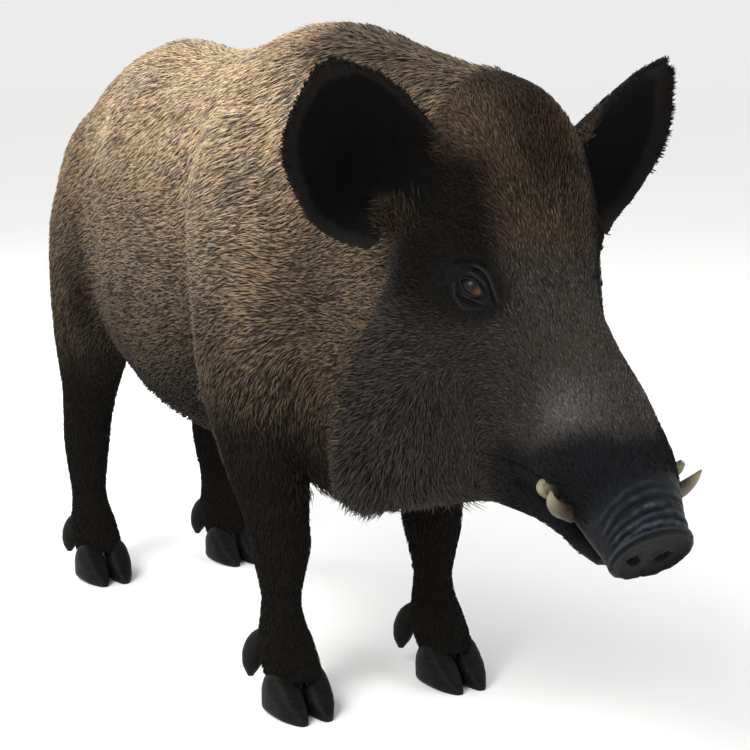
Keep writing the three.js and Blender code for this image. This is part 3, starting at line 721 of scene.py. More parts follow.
for label, s in SIDES:
    for kind, T in (("lower", TUSK_LOWER), ("upper", TUSK_UPPER)):
        n, m = 64, 40
        P = rows(T, n); C = P[:, :3]; Tn = unit(np.gradient(C, axis=0)); th = np.arange(m) / m * 2 * np.pi
        rings = []
        for i, (p, t) in enumerate(zip(P, Tn)):
            a = unit(np.cross(t, [0, 1, 0])); b = np.cross(t, a); r = p[3] * 1.0
            f = i / (n - 1)
            if kind == "lower":      # three-sided section with a worn bevel near the point
                sec = 1 - .10 * np.cos(3 * th + .4); sec = np.where(np.cos(th - 2.2) > .55, sec * (1 - .16 * smooth(.45, .9, np.array(f))), sec)
            else:                    # ribbed, blunt, worn flat at the end
                sec = 1 - .05 * np.cos(4 * th) + .02 * np.cos(9 * th)
            rings.append(p[:3] + (r * sec)[:, None] * (np.outer(np.cos(th), a) + np.outer(np.sin(th), b)))
        V, F = loft(rings)
        along = np.append(np.repeat(np.linspace(0, 1, n), m), [0, 1])
        if s < 0: V, F = flip(V, F)
        ob = mesh_object("tusk_%s_%s" % (kind, label), to_frame(V), F); set_attr(ob.data, "along", along, 'FLOAT')
        put(ob, mat_ivory, "ivory", "tusk_%s_%s" % (kind, label))


def rough_horn(V, amp, seed):
    d = amp * noise(V * [1, 1, 3.2], 9, seed) + .5 * amp * noise(V * [1, 1, 5], 4, seed + 1)
    return d


for end, toe in TOES.items():
    for label, s in SIDES:
        for which, x in CLAW_X.items():
            name = "%s_%s_%s" % (end, label, which)
            V, F = claw(toe, x, -1 if which == "outer" else 1, 64, 48)
            N = vnormals(V, F); V = V + N * (rough_horn(V, .38, (3 if end == "front" else 7) + (2 if which == "outer" else 0)) * smooth(1, 5, V[:, 2]))[:, None]
            V[:, 2] = np.maximum(V[:, 2], 0)
            out = 1 if which == "outer" else -1
            D_, G = dewclaw(toe, 112 + 20 * out, out); ND = vnormals(D_, G); D_ = D_ + ND * (rough_horn(D_, .35, 5))[:, None]
            if s < 0: V, F = flip(V, F); D_, G = flip(D_, G)
            put(mesh_object("hoof_" + name, to_frame(V), F), mat_hoof, "hoof", "hoof_" + name)
            put(mesh_object("dewclaw_" + name, to_frame(D_), G), mat_hoof, "hoof", "dewclaw_" + name)


# ------------------------------------------------------------------ markings: one colour for a place on the hide
EAR_GRID = ear()[1]                                        # points over the left ear's hollow side, root row first
EAR_RIM = np.concatenate([EAR_GRID[1:, 0], EAR_GRID[-1], EAR_GRID[1:, -1][::-1]])


def nearest(P, Q, chunk=4000):
    d = np.empty(len(P)); k = np.empty(len(P), int)
    for i in range(0, len(P), chunk):
        D = ((P[i:i + chunk, None] - Q[None]) ** 2).sum(2); k[i:i + chunk] = D.argmin(1); d[i:i + chunk] = np.sqrt(D.min(1))
    return d, k


def zones(P, N):
    """weights from 0 to 1 that say which part of the hide a point is on; both sides are alike"""
    Q = P.copy(); Q[:, 0] = np.abs(Q[:, 0]); x, y, z = Q.T
    M = N.copy(); M[:, 0] *= np.sign(P[:, 0] + 1e-9)
    Z = {}
    # ears: outside the head's own form, near the ear's surface
    box = (x > 92) & (z > 600) & (y < -500) & (y > -660)
    d = np.full(len(P), 1e3); rim = np.full(len(P), 1e3); kk = np.zeros(len(P), int)
    if box.any():
        G = EAR_GRID[1:].reshape(-1, 3); dd, k = nearest(Q[box], G); d[box] = dd; kk[box] = k; rim[box] = nearest(Q[box], EAR_RIM)[0]
    headx = 92 + 34 * smooth(-640, -560, y) + 14 * smooth(650, 600, z)
    Z["ear"] = smooth(20, 9, d) * smooth(headx - 6, headx + 12, x)
    side_d = np.full(len(P), 1e3); mid_d = np.full(len(P), 1e3)
    if box.any():
        side_d[box] = nearest(Q[box], EAR_RIM[len(EAR_GRID) - 4:])[0]; mid_d[box] = nearest(Q[box], EAR_GRID[1:, 0])[0]
    Z["rim_d"] = rim; Z["band"] = np.maximum(smooth(22, 18.5, side_d), smooth(10, 7, mid_d))
    Z["corner"] = np.exp(-(((Q - [120, -568, 638]) / [24, 28, 22]) ** 2).sum(1)) * (M[:, 1] < .35)
    Z["root"] = np.clip(3 * np.exp(-(((Q - [114, -556, 694]) / [30, 56, 66]) ** 2).sum(1)) - .1, 0, 1) * smooth(.8, .45, M[:, 1]) * smooth(85, 95, x + .12 * (y + 580)) * smooth(638, 668, z)
    hollow = (M @ EAR_OPEN > .05) & (d < 14)
    Z["hollow"] = Z["ear"] * hollow
    s = -((P - DISC_C) @ DISC_N); Z["snout_s"] = s
    Z["nose"] = smooth(70, 34, s)
    Z["disc"] = smooth(5, 1, s)
    lip = np.interp(y, LIP_Y, LIP_Z)
    Z["lip"] = np.exp(-((z - lip) / 9) ** 2) * smooth(-735, -775, y) * smooth(24, 40, x) * (1 - Z["disc"])
    gap = smooth(lip + 1, lip - 2, z) * smooth(lip - 19, lip - 13, z) * smooth(-778, -787, y) * smooth(-846, -838, y) * smooth(34, 42, x)
    Z["gum"] = gap
    c, n, a, b = eye_frame(1); d3 = Q - c; p, q = d3 @ a, d3 @ b; r = np.hypot(p, q)
    Z["eye_d"] = np.where(d3 @ n > -10, np.maximum(opening(p, q), 0), 99.)
    # ridge and crease masks of the lid folds: they carry a painted highlight on the fold tops and painted shade in the
    # creases
    Z["ridge"] = np.zeros(len(P)); Z["crease"] = np.zeros(len(P)); m = np.where(r < 50)[0]
    for amp, wd, pts in FOLDS[:-1]:
        dd, fade = line_distance(p[m], q[m], pts); k = "ridge" if amp > 0 else "crease"
        Z[k][m] = np.maximum(Z[k][m], np.exp(-(dd / (wd * .8)) ** 2) * fade * min(1., abs(amp) / 2.4) * (d3[m] @ n > -14))
    limb = (1 - smooth(-560, -600, y)) * smooth(34, 50, x) * (1 - smooth(-420, -440, y) * smooth(235, 290, z)); Z["leg"] = smooth(400, 330, z) * limb; Z["sock"] = smooth(435, 275, z) * limb
    edge = np.interp(z, [290, 345, 405, 480, 546, 600, 680], [-425, -432, -446, -484, -524, -556, -570]) + 5 * noise(P, 20, 64)
    Z["edge"] = y - edge                                                           # behind the rear edge of the ruff when positive
    Z["head"] = smooth(5, -9, Z["edge"]) * (1 - Z["ear"])
    Z["ruff"] = Z["head"] * smooth(-640, -560, y) * smooth(590, 530, z) * smooth(40, 90, x)
    Z["fringe"] = np.exp(-((Z["edge"] + 14) / 16) ** 2) * smooth(300, 320, z) * smooth(600, 560, z) * smooth(80, 110, x)
    return Z


TONES = np.array([srgb(208, 183, 150), srgb(156, 133, 107), srgb(100, 86, 70), srgb(33, 28, 23)])     # tan, brown, dark brown, near black


def pelt(P, N):
    Z = zones(P, N); n = len(P)
    Q = P.copy(); Q[:, 0] = np.abs(Q[:, 0]); x, y, z = Q.T
    big = noise(P, 120, 61) + .5 * noise(P, 55, 62)
    # the trunk goes from tan on the back to near black underneath; the shoulder, neck and haunch turn dark higher up
    d = np.interp(z, [300, 365, 420, 500, 570, 640, 700, 760], [3, 2.95, 2.6, 1.85, 1.45, .85, .25, .05])

    def toward(w, zs, ds):
        nonlocal d
        d = d * (1 - w) + np.interp(z, zs, ds) * w
    toward(smooth(-110, -230, y), [280, 350, 400, 470, 540, 620, 700, 780, 830], [3, 2.85, 2.5, 2.1, 1.55, 1.0, .3, .1, .5])
    toward(smooth(-290, -420, y), [280, 350, 430, 500, 600, 700, 770, 830], [2.9, 2.65, 2.4, 2.1, 1.95, 1.4, 1.2, 1.6])
    ridge = smooth(-215, -300, y) * smooth(118, 30, x + 12 * noise(P, 40, 65)) * smooth(730, 790, z); d = d * (1 - ridge) + 1.95 * ridge
    toward(smooth(230, 320, y), [260, 340, 400, 480, 560, 650, 740], [3, 2.95, 2.65, 2.25, 1.75, 1.1, .6])
    d = d + .5 * bump(P, (150, 300, 470), (80, 34, 90)) + .35 * bump(P, (180, -160, 470), (60, 34, 80))     # painted shade: darker hair next to the grooves in front of the thigh and behind the elbow
    d = np.clip(d + .22 * big, 0, 3); i = np.clip(d.astype(int), 0, 2); w = (d - i)[:, None]
    C = TONES[i] * (1 - w) + TONES[i + 1] * w

    def lay(w, *rgb):
        nonlocal C
        w = np.clip(w, 0, 1)[:, None]; C = C * (1 - w) + srgb(*rgb) * w
    line = line_distance(y, z, [(-269, 600), (-203, 514), (-165, 430), (-113, 369)])[0]
    lay(np.exp(-(line / 11) ** 2) * smooth(120, 150, x) * .55, 140, 130, 113)                # pale hair along the shoulder blade
    for c, r in (((171, -99, 673), (60, 30, 18)), ((174, -289, 659), (60, 34, 20)), ((199, -295, 542), (60, 22, 26)), ((190, 24, 581), (60, 26, 30)), ((58, -299, 823), (40, 44, 30)), ((160, 150, 700), (60, 40, 20))):
        lay(bump(P, c, r) * .34, 92, 88, 84)                                                 # grey dapples
    lay(Z["head"], 60, 55, 50)
    lay(Z["head"] * smooth(580, 640, z), 71, 59, 48); lay(Z["head"] * smooth(660, 760, z) * smooth(-12, 26, x + 6 * big) * .9, 92, 75, 59); lay(Z["head"] * smooth(62, 14, x + 5 * big) * smooth(630, 700, z) * .75, 31, 26, 22)          # forehead and crown
    lay(Z["head"] * smooth(62, 30, x) * smooth(620, 560, z), 68, 63, 58)                     # bridge
    lay(Z["head"] * smooth(44, 72, x + 8 * big) * smooth(510, 560, z + 10 * big) * smooth(730, 690, z) * smooth(-725, -690, y) * smooth(-555, -585, y) * .95, 15, 13, 11)     # temple and eye
    lay(Z["head"] * smooth(500, 440, z) * smooth(-740, -690, y) * .8, 50, 46, 42); lay(bump(P, (100, -665, 505), (40, 44, 34)) * .55, 34, 31, 27)            # cheek
    lay(Z["ruff"] * .9, 56, 52, 47); lay(Z["ruff"] * smooth(390, 320, z) * .7, 46, 43, 39)
    lay(Z["fringe"] * smooth(470, 540, z) * .75, 124, 106, 84); lay(Z["fringe"] * smooth(520, 470, z) * .4, 84, 70, 56)
    lay(Z["head"] * smooth(435, 398, z) * smooth(-655, -725, y) * .97, 19, 19, 20)           # dark chin, with painted shade in the hollow at the corner of the mouth behind the tusk
    lay(bump(P, (58, -786, 465), (30, 34, 30)) * .8, 112, 108, 104); lay(bump(P, (0, -800, 470), (40, 40, 34)) * .5, 82, 79, 75)       # pale patches of the muzzle
    s0 = 84 + .9 * np.clip(x - 20, 0, 60) + 7 * big
    lay(smooth(s0 + 15, s0 - 17, Z["snout_s"]) * .97, 23, 25, 29); lay(bump(P, (52, -835, 362), (18, 26, 30)) * .8, 13, 14, 17)                            # dark snout
    # the wrinkles' crests get a painted highlight and their grooves painted shade, over the dark snout colour
    g, c_ = wrinkles(P)
    lay(Z["nose"] * .8, 19, 22, 27); lay(c_ * np.clip(.65 + .6 * noise(P, 6, 66), 0, 1), 80, 89, 101); lay(g * 1.2, 6, 7, 9)
    t = (P - DISC_C) @ DISC_U; rho = np.sqrt((x / 50) ** 2 + (t / 33.6) ** 2)
    # dark disc, and a painted highlight along the top edge of the disc's rim
    lay(Z["disc"], 11, 12, 14); lay(np.exp(-((Z["snout_s"] - 3.2) / 1.5) ** 2) * smooth(.86, .96, rho) * smooth(-24, 6, t) * .7, 88, 96, 108)
    lay(smooth(38, 16, Z["eye_d"]) * .85, 17, 16, 14); lay(smooth(20, 12, Z["eye_d"]) * .95, 15, 15, 15)
    # painted highlight on the tops of the lid folds, painted shade in the creases between them, and a painted
    # reflection along the wet edge of the lids
    lay(Z["ridge"] * .75, 60, 59, 58); lay(Z["crease"], 5, 5, 5); lay(np.exp(-((Z["eye_d"] - .9) / .7) ** 2) * (Z["eye_d"] < 5) * .5, 74, 70, 66)
    lay(Z["sock"] * .95, 23, 20, 16)
    lay(Z["ear"] * .97, 29, 28, 27); lay(Z["hollow"] * (1 - Z["band"]), 2, 2, 2);
    lay(Z["corner"] * 1.6 * (x > 88) * (z > 585) * .85, 42, 35, 28); lay(bump(P, (90, -600, 690), (16, 28, 48)) * .3, 20, 17, 15); lay(Z["root"], 7, 6, 6)
    lay(Z["lip"] * .85, 20, 21, 23); lay(Z["gum"], 84, 60, 60)
    bare = np.clip(np.maximum.reduce([smooth(64, 40, Z["snout_s"]), Z["gum"], smooth(19, 14, Z["eye_d"]), Z["lip"] * smooth(-770, -785, y)]), 0, 1)
    return C, bare, Z


SC, SB, SZ = pelt(SP, SN)
set_attr(skin.data, "pelt", SC * .62); set_attr(skin.data, "bare", SB, 'FLOAT')
FLESH = ["trunk", "neck", "head", "jaw", "tail"] + ["%s_%s" % (k, l) for k in ("leg_front", "leg_hind", "ear") for l, _ in SIDES]
put(skin, mat_skin, "coat", *FLESH)
# near-black wall inside the mouth behind the gap of the lips: painted shade for the shadowed inside of the mouth
a_ = np.linspace(0, np.pi, 21)[1:-1]; b_ = np.arange(28) / 28 * 2 * np.pi
V, F = loft([np.stack([40 * math.cos(t) + 0 * b_, -773 + 19 * math.sin(t) ** .5 * np.cos(b_), 362 + 24 * math.sin(t) ** .5 * np.sin(b_)], 1) for t in a_])
mouth_shade_wall = mesh_object("mouth_inside_painted_shade", to_frame(V), F)
set_attr(mouth_shade_wall.data, "pelt", np.tile([.006, .004, .004], (len(V), 1))); set_attr(mouth_shade_wall.data, "bare", np.full(len(V), .4), 'FLOAT')
put(mouth_shade_wall, mat_skin, "coat")


# ------------------------------------------------------------------ coat
def lie(P, N, Z):
    """which way the hair lies, as a unit vector along the skin"""
    sg = np.sign(P[:, 0] + 1e-9); x = np.abs(P[:, 0]); y, z = P[:, 1], P[:, 2]
    F = np.stack([0 * x, 1 + 0 * x, -np.interp(z, [380, 520, 600, 660, 720, 790, 830], [.25, .14, .25, .75, 1.35, 1.7, 1.0])], 1)

    def bend(w, v):
        nonlocal F
        w = np.clip(w, 0, 1)[:, None]; v = np.broadcast_to(np.asarray(v, float), P.shape); F = F * (1 - w) + v / np.linalg.norm(v, axis=1, keepdims=True) * w * 1.1
    bend(smooth(50, 10, x) * smooth(600, 760, z) * .7, (0, 1, -.1))               # along the back
    bend(smooth(200, 400, y), (0, .75, -.75)); bend(smooth(230, 400, y) * smooth(560, 420, z), (0, .35, -1))     # rump and haunch
    bend(smooth(-60, -220, y) * smooth(520, 400, z) * .9, (0, .5, -.9))           # upper arm
    bend(smooth(380, 310, z) * smooth(60, 30, x), (0, 1, 0))                      # belly
    bend(smooth(-200, -300, y) * smooth(420, 330, z) * smooth(-560, -520, y), (0, .1, -1))   # brisket
    bend(Z["leg"], (0, .12, -1))
    bend(Z["head"], np.stack([.10 * sg, .8 + 0 * x, .25 + 0 * x], 1))
    bend(Z["head"] * smooth(75, 40, x), (0, .55, .85))                            # up the bridge and forehead
    bend(Z["head"] * smooth(560, 500, z) * smooth(-720, -650, y), (0, 1, -.3))    # cheek
    bend(Z["head"] * smooth(520, 430, z) * smooth(-700, -640, y), np.stack([0 * x, (y + 606) / 100, (z - 470) / 100], 1) + np.array([0, .02, -.1]))     # the ruff spreads back and down
    bend(Z["fringe"], (0, 1, -.2))
    ed = smooth(60, 20, Z["eye_d"])
    c, n, a, b = eye_frame(1); Q = P.copy(); Q[:, 0] = x; rad = unit(Q - c) * np.stack([sg, 1 + 0 * x, 1 + 0 * x], 1)
    bend(ed * .5 * (z > 0) * smooth(99, 60, Z["eye_d"]), rad)
    base = np.array([118, -590, 668.]); out = unit(Q - base) * np.stack([sg, 1 + 0 * x, 1 + 0 * x], 1)
    bend(Z["ear"], out)
    bend(smooth(495, 505, y) * smooth(60, 30, x), (0, .1, -1))                    # tail
    # low swirls
    w = np.stack([noise(P, 46, 71), noise(P, 46, 72), noise(P, 46, 73)], 1) * .16 + np.stack([noise(P, 150, 74), noise(P, 150, 75), noise(P, 150, 76)], 1) * .10
    F = unit(F) + w * (1 - .6 * np.clip(Z["head"] + Z["leg"] + Z["ear"], 0, 1))[:, None]
    F = F - N * (F * N).sum(1)[:, None]
    return unit(F)


def make_up(P, Z):
    """length, width, lift of the tip and number per square metre"""
    x = np.abs(P[:, 0]); y, z = P[:, 1], P[:, 2]
    Lg = np.full(len(P), 20.); W = np.full(len(P), 2.6); H = np.full(len(P), 3.6); D = np.full(len(P), 56000.)

    def to(w, l, wd, h, d):
        nonlocal Lg, W, H, D
        w = np.clip(w, 0, 1); Lg = Lg * (1 - w) + l * w; W = W * (1 - w) + wd * w; H = H * (1 - w) + h * w; D = D * (1 - w) + d * w
    to(smooth(240, 380, y), 18, 2.3, 3.0, 60000)
    to(smooth(30, 12, x) * smooth(760, 790, z), 25, 2.6, 6, 60000)                  # ridge of the back
    to(smooth(330, 300, z) * smooth(90, 60, x) * smooth(-430, -380, y), 24, 2.8, 6, 36000)
    to(smooth(-340, -440, y) * .6, 17, 2.2, 3.4, 66000)
    to(Z["head"], 10, 1.5, 1.5, 105000)
    to(Z["head"] * smooth(600, 690, z), 12, 1.6, 2.0, 100000)
    to(Z["head"] * smooth(-690, -770, y), 7, 1.3, .9, 110000)
    to(Z["ruff"], 20, 1.6, 2.8, 95000); to(Z["ruff"] * smooth(400, 340, z), 28, 1.7, 4.5, 90000); to(Z["fringe"] * .8, 22, 1.9, 4.0, 95000)
    to(Z["leg"], 10, 1.9, 1.4, 70000); to(Z["leg"] * smooth(200, 120, z), 8, 1.7, 1.1, 76000)
    to(smooth(38, 18, Z["eye_d"]), 4.5, 1.0, .6, 130000)
    to(Z["ear"], 7, 1.6, 1.0, 80000)
    to(smooth(500, 508, y) * smooth(40, 20, x), 20, 2.6, 4, 60000)
    bare = np.maximum.reduce([smooth(60, 40, Z["snout_s"]), Z["gum"] * 2, smooth(17, 12, Z["eye_d"]), np.clip(Z["ridge"] * 1.6, 0, 1) * smooth(40, 30, Z["eye_d"]), Z["hollow"] * (1 - np.clip(Z["corner"] * 2 - .2, 0, 1)), Z["root"] * .97, np.exp(-((z - np.interp(y, LIP_Y, LIP_Z)) / 6) ** 2) * smooth(-760, -780, y) * (x > 30)])
    D = D * np.clip(1 - bare, 0, 1) * smooth(2, 6, z)
    return Lg, W, H, D


def tufts(P, N, Dv, Lg, W, H, C, rnd, tipward=1.0):
    """closed three-sided locks: root ring, middle ring and tip; rnd gives the seeded numbers"""
    n = len(P); S = np.cross(Dv, N)
    r = rnd.random((n, 8))
    Lg = Lg * (.72 + .56 * r[:, 0]); W = W * (.75 + .5 * r[:, 1]); H = H * (.45 + 1.1 * r[:, 2])
    side = (r[:, 3] - .5) * .34                                                      # bend to one side
    root = P - N * .9; mid = P + Dv * (Lg * .46)[:, None] + S * (Lg * side * .3)[:, None] + N * (H * .75)[:, None]
    tip = P + Dv * Lg[:, None] + S * (Lg * side)[:, None] + N * (H * 1.0)[:, None]
    w0, w1 = W * .36, W * .5
    V = np.empty((n, 7, 3))
    V[:, 0] = root - S * w0[:, None]; V[:, 1] = root + S * w0[:, None]; V[:, 2] = root + N * (W * .25 + .5)[:, None]
    V[:, 3] = mid - S * w1[:, None] - N * (W * .12)[:, None]; V[:, 4] = mid + S * w1[:, None] - N * (W * .12)[:, None]; V[:, 5] = mid + N * (W * .34)[:, None]
    V[:, 6] = tip
    # colours: dark at the root, the coat's own colour from the middle, worn pale at the tip
    K = np.empty((n, 7, 3)); K[:, :3] = (C * .38)[:, None]; K[:, 3:6] = C[:, None]; K[:, 6] = C * (1.02 + .30 * tipward * r[:, 4:5])
    F0 = np.array([[0, 2, 1], [0, 1, 4], [0, 4, 3], [1, 2, 5], [1, 5, 4], [2, 0, 3], [2, 3, 5], [3, 4, 6], [4, 5, 6], [5, 3, 6]])
    F = (F0[None] + 7 * np.arange(n)[:, None, None]).reshape(-1, 3)
    return V, F, K, r


def shade_of(P, C, Z, rnd):
    """each tuft is tan, mid brown or near black, in loose clusters"""
    n = len(P); u = rnd.random(n); x = np.abs(P[:, 0]); y, z = P[:, 1], P[:, 2]
    cl = .55 * noise(P, 13, 81) + .35 * noise(P, 34, 82)
    body = (1 - np.clip(Z["head"] + Z["leg"] + Z["ear"], 0, 1))
    dapple = smooth(.35, .95, noise(P * [1, .8, 1.3], 62, 83) + .5 * noise(P, 26, 84)) * body * smooth(330, 470, z) * smooth(330, 180, y)
    v = u + .34 * cl - .20 * dapple; low = .11 + .09 * smooth(720, 560, z)
    g = np.where(v > .46, 1.30, np.where(v > low, .84, .42)); spread = np.maximum(.95 + .05 * body, Z["ruff"] * 1.25)
    g = 1 + (g - 1) * spread; g = np.where((rnd.random(n) < .07) & (Z["head"] > .5), 1.75, g)
    g = g * (.88 + .24 * rnd.random(n))
    K = C * g[:, None]
    cold = ((v <= low) * (.45 * body + .1) * (rnd.random(n) < .6) + .15 * dapple)[:, None]
    K = K * (1 - cold) + (K.mean(1, keepdims=True) * np.array([.97, .99, 1.03])) * cold
    warm = (.9 + .2 * rnd.random(n))[:, None]
    return K * np.concatenate([warm ** .5, np.ones_like(warm), warm ** -.8], 1)


def scatter(rnd, scale=1.0, D=None):
    A, B, Cc = SP[ST[:, 0]], SP[ST[:, 1]], SP[ST[:, 2]]
    area_ = np.linalg.norm(np.cross(B - A, Cc - A), axis=1) / 2 * 1e-6
    D = make_up(SP, SZ)[3] if D is None else D
    w = area_ * D[ST].mean(1) * scale
    cum = np.cumsum(w); n = int(cum[-1]); pick = np.searchsorted(cum, (np.arange(n) + rnd.random(n)) * (cum[-1] / n)); pick = np.clip(pick, 0, len(ST) - 1)
    r1 = np.sqrt(rnd.random(n)); r2 = rnd.random(n); b = np.stack([1 - r1, r1 * (1 - r2), r1 * r2], 1)
    T = ST[pick]
    return (SP[T] * b[:, :, None]).sum(1), unit((SN[T] * b[:, :, None]).sum(1)), rnd.permutation(n)


mat_coat = Mat("coat", .66, .07)
cc = mat_coat.attr("pelt").outputs["Color"]; sv = mat_coat.n("SeparateXYZ"); mat_coat.l(mat_coat.attr("strand").outputs["Vector"], sv.inputs[0])
cx = mat_coat.n("CombineXYZ"); mat_coat.l(mat_coat.math('MULTIPLY', sv.outputs[0], 2.6), cx.inputs[0]); mat_coat.l(mat_coat.math('MULTIPLY', sv.outputs[1], .7), cx.inputs[1]); mat_coat.l(mat_coat.math('MULTIPLY', sv.outputs[2], 37.), cx.inputs[2])
strands = mat_coat.noise(1.6, 2, .5, cx.outputs[0])
mat_coat.colour(mat_coat.mix(mat_coat.grey(strands, .32, .68, .42, 0), cc, (.006, .005, .004)))
mat_coat.bump(strands, .0006, .6)

COAT = {}


def add_coat(key, P, N, Dv, Lg, W, H, C, rnd, tipward=1.0):
    V, F, K, r = tufts(P, N, Dv, Lg, W, H, C, rnd, tipward)
    COAT.setdefault(key, []).append((P, V, F, K, r[:, 5]))


def unwrap(P, key):
    """a place on an unrolled map of the hide for each root, in mm"""
    x, y, z = P.T; sg = np.sign(x + 1e-9)
    if "leg" in key:
        T = FRONT_LIMB if "front" in key else HIND_LIMB; zz = T[::-1, 2]; cx_ = np.interp(z, zz, T[::-1, 0]); cy = np.interp(z, zz, T[::-1, 1])
        return np.stack([np.arctan2(np.abs(x) - cx_, y - cy) * 60, z], 1)
    if "ear" in key:
        u = unit(np.cross([0, 0, 1.], EAR_OPEN)); v = np.cross(EAR_OPEN, u); Q = np.stack([np.abs(x), y, z], 1)
        back_ = (key.endswith("back")) * 1
        return np.stack([Q @ u + 300 * back_, Q @ v], 1)
    zc = np.interp(y, [-880, -800, -700, -600, -400, 0, 500], [330, 410, 500, 560, 560, 560, 600])
    return np.stack([np.arctan2(x, z - zc) * 170, y], 1)


def build_coat(key, parts, mat, slot):
    P = np.concatenate([p[0] for p in parts]); n = len(P)
    V = np.concatenate([p[1] for p in parts]).reshape(-1, 3); K = np.concatenate([p[3] for p in parts]).reshape(-1, 3); idn = np.concatenate([p[4] for p in parts])
    F0 = parts[0][2][:10]; F = (F0[None] + 7 * np.arange(n)[:, None, None]).reshape(-1, 3)
    ob = mesh_object(key, to_frame(V), F)
    set_attr(ob.data, "pelt", np.clip(K, 0, 1))
    st = np.tile(np.array([[-1, 0, 0], [1, 0, 0], [0, 0, 0], [-1, .46, 0], [1, .46, 0], [0, .46, 0], [0, 1, 0]], float), (n, 1)); st[:, 2] = np.repeat(idn, 7)
    set_attr(ob.data, "strand", st, 'FLOAT_VECTOR')
    U = unwrap(P, key); lo, hi = U.min(0), U.max(0); U = .01 + .98 * (U - lo) / np.maximum(hi - lo, 1e-6)
    uv = (U[:, None] + .0015 * np.array([[-1, -1], [1, -1], [0, -1], [-1, 0], [1, 0], [0, 0], [0, 1]])[None]).reshape(-1, 2)
    layer = ob.data.uv_layers.new(name="OFBake"); layer.data.foreach_set("uv", np.ascontiguousarray(uv[F.ravel()], dtype=np.float32).ravel())
    put(ob, mat, slot)
    return ob


rnd = np.random.default_rng(29)
P, N, mixed = scatter(rnd, .93)
C, _, Z = pelt(P, N)
Lg, W, H, D = make_up(P, Z)
Dv = lie(P, N, Z)
ja = rnd.normal(0, .13, len(P))[:, None]; Dv = unit(Dv + np.cross(N, Dv) * ja)
K = shade_of(P, C, Z, rnd)
side_name = np.where(P[:, 0] < 0, "right", "left")
group = np.where(Z["ear"] > .5, "ear", np.where(Z["leg"] > .5, np.where(P[:, 1] < 100, "leg_front", "leg_hind"), np.where(Z["head"] > .5, "face", "body")))
for g in ("body", "face", "leg_front", "leg_hind", "ear"):
    for sd in ("right", "left"):
        m = np.where((group == g) & (side_name == sd))[0]
        if not len(m): continue
        m = m[np.argsort(P[m, 1])]; parts_n = max(1, math.ceil(len(m) / 18500))
        for i, part in enumerate(np.array_split(m, parts_n)):
            add_coat("coat_%s_%s%s" % (g, sd, "_%d" % (i + 1) if parts_n > 1 else ""), P[part], N[part], Dv[part], Lg[part], W[part], H[part], K[part], rnd)


def fringe(weight, length, width, lift, flow, colour, keep=.0):
    """longer locks where they break the outline: number per square metre, sizes in mm, direction and colour"""
    P, N, _ = scatter(rnd, 1.0, weight)
    if not len(P): return
    C, _, Z = pelt(P, N); sg = np.sign(P[:, :1] + 1e-9)
    v = np.broadcast_to(np.asarray(flow(P) if callable(flow) else flow, float), P.shape) * np.concatenate([sg, np.ones_like(sg), np.ones_like(sg)], 1)
    v = v + rnd.normal(0, .12, P.shape); Dv = unit(v - N * (v * N).sum(1)[:, None])
    one = np.ones(len(P)); K = (C * keep + srgb(*colour) * (1 - keep)) * (.6 + .8 * rnd.random(len(P)))[:, None]
    where = np.where(Z["ear"] > .5, "ear", np.where(Z["leg"] > .5, np.where(P[:, 1] < 100, "leg_front", "leg_hind"), np.where(Z["head"] > .5, "face", "body")))
    for k in np.unique(where):
        for sd, m in (("right", P[:, 0] < 0), ("left", P[:, 0] >= 0)):
            m = m & (where == k)
            if m.any(): add_coat("coat_%s_%s_long" % (k, sd), P[m], N[m], Dv[m], length * one[m], width * one[m], lift * one[m], K[m], rnd)


ax_, yy_, zz_ = np.abs(SP[:, 0]), SP[:, 1], SP[:, 2]
side_out = SN[:, 0] * np.sign(SP[:, 0])
rear_in = SN @ np.array([0, .55, 0]) - .83 * side_out
fringe(30000 * smooth(335, 305, zz_) * smooth(262, 290, zz_) * smooth(-450, -425, yy_) * smooth(-270, -310, yy_) * smooth(135, 110, ax_), 18, 1.9, 7, (0, -.1, -1), (34, 29, 24))                  # brisket
fringe(26000 * smooth(385, 345, zz_) * smooth(240, 270, zz_) * smooth(-190, -120, yy_) * smooth(330, 270, yy_) * smooth(190, 160, ax_) * smooth(.1, -.3, SN[:, 2]), 17, 1.9, 5, (0, 1, -.35), (36, 32, 27), .4)    # belly
fringe(55000 * SZ["ruff"] * smooth(362, 335, zz_) * smooth(-440, -460, yy_) * smooth(-665, -625, yy_) * smooth(18, 40, ax_), 27, 1.4, 9, lambda P: np.stack([0 * P[:, 0] + .1, (P[:, 1] + 560) / 110, -1 + 0 * P[:, 0]], 1), (62, 58, 53))      # under the ruff
fringe(30000 * SZ["fringe"], 26, 1.6, 5, (.1, 1, -.35), (104, 90, 73), .5)                                                             # rear edge of the ruff
fringe(26000 * (SZ["leg"] > .4) * smooth(.5, .8, SN[:, 1]) * smooth(360, 320, zz_) * smooth(150, 185, zz_) * (yy_ < 0), 10, 1.6, 2.2, (0, .2, -1), (30, 26, 22))           # back of the forelegs
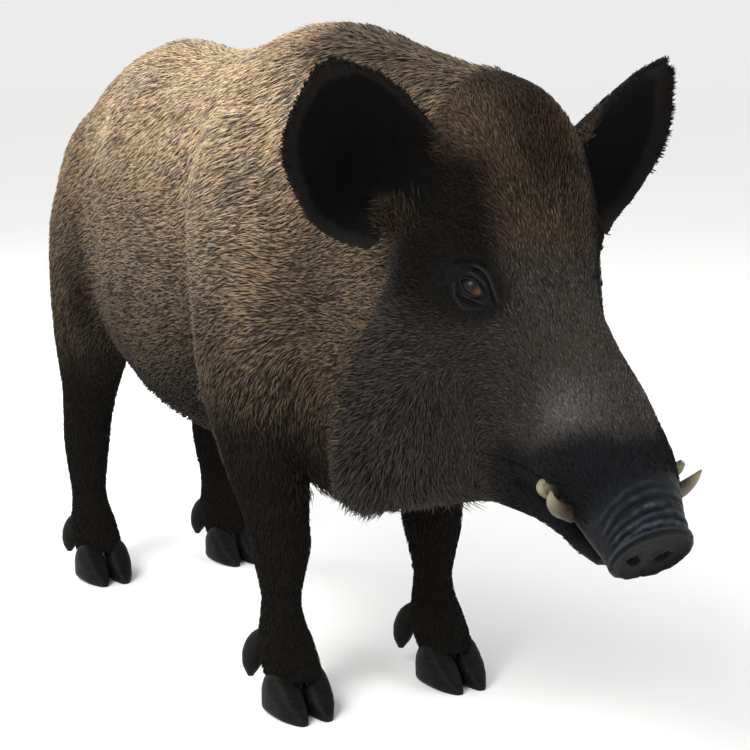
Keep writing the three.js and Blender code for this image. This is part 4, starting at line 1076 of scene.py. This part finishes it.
fringe(42000 * (ax_ < 112) * (SZ["leg"] > .2) * smooth(.3, .75, rear_in) * smooth(400, 350, zz_) * smooth(140, 175, zz_), 9, 1.6, 2.4, (-.1, .2, -1), (26, 23, 19))         # inner edges of all legs
fringe(60000 * smooth(-215, -190, yy_) * smooth(-60, -100, yy_) * smooth(-.1, .35, SN[:, 1]) * smooth(430, 380, zz_) * smooth(240, 300, zz_) * smooth(70, 100, ax_), 20, 1.6, 3.5, (0, .35, -1), (68, 61, 53))    # pale hair down the elbow
fringe(20000 * (SZ["leg"] > .4) * smooth(.4, .8, SN[:, 1]) * smooth(330, 290, zz_) * smooth(150, 185, zz_) * (yy_ > 100), 12, 1.6, 3, (0, .2, -1), (28, 24, 20))          # back of the hocks
fringe(240000 * SZ["ear"] * smooth(5.5, 3, SZ["rim_d"]), 6.8, 1.6, .5, lambda P: unit(np.stack([np.abs(P[:, 0]) - 168, P[:, 1] + 585, P[:, 2] - 700], 1)), (22, 21, 20))   # edge of the ears
fringe(60000 * np.clip(SZ["corner"] * 1.8 - .35, 0, 1) * (ax_ > 96), 17, 1.3, 5, lambda P: unit(np.stack([.5 + 0 * P[:, 0], .1 + 0 * P[:, 0], .8 + 0 * P[:, 0]], 1)), (54, 45, 36))                             # tufts across the ear's front corner
fringe(90000 * smooth(545, 500, zz_) * smooth(495, 503, yy_) * smooth(30, 15, ax_), 42, 2.4, 8, (0, .1, -1), (40, 34, 28))                    # tassel of the tail
SLOT = {"body": "coat", "face": "face", "leg": "leg", "ear": "ear"}
total = 0
for key, parts in COAT.items():
    build_coat(key, parts, mat_coat, SLOT[key.split("_")[1]]); k = sum(len(p[0]) for p in parts); total += k
    print(key, k * 10, "triangles")
print("coat", total * 10, "triangles")


# ------------------------------------------------------------------ floor
bpy.ops.mesh.primitive_plane_add(size=400, location=(0, 0, 0)); floor = bpy.context.object; floor.name = "floor"
mat_floor = Mat("floor", .9, .2); mat_floor.colour(mat_floor.mix(mat_floor.grey(mat_floor.noise(3, 2), .3, .7), (.985, .985, .98), (.99, .99, .985)))
floor.data.materials.append(mat_floor.m)
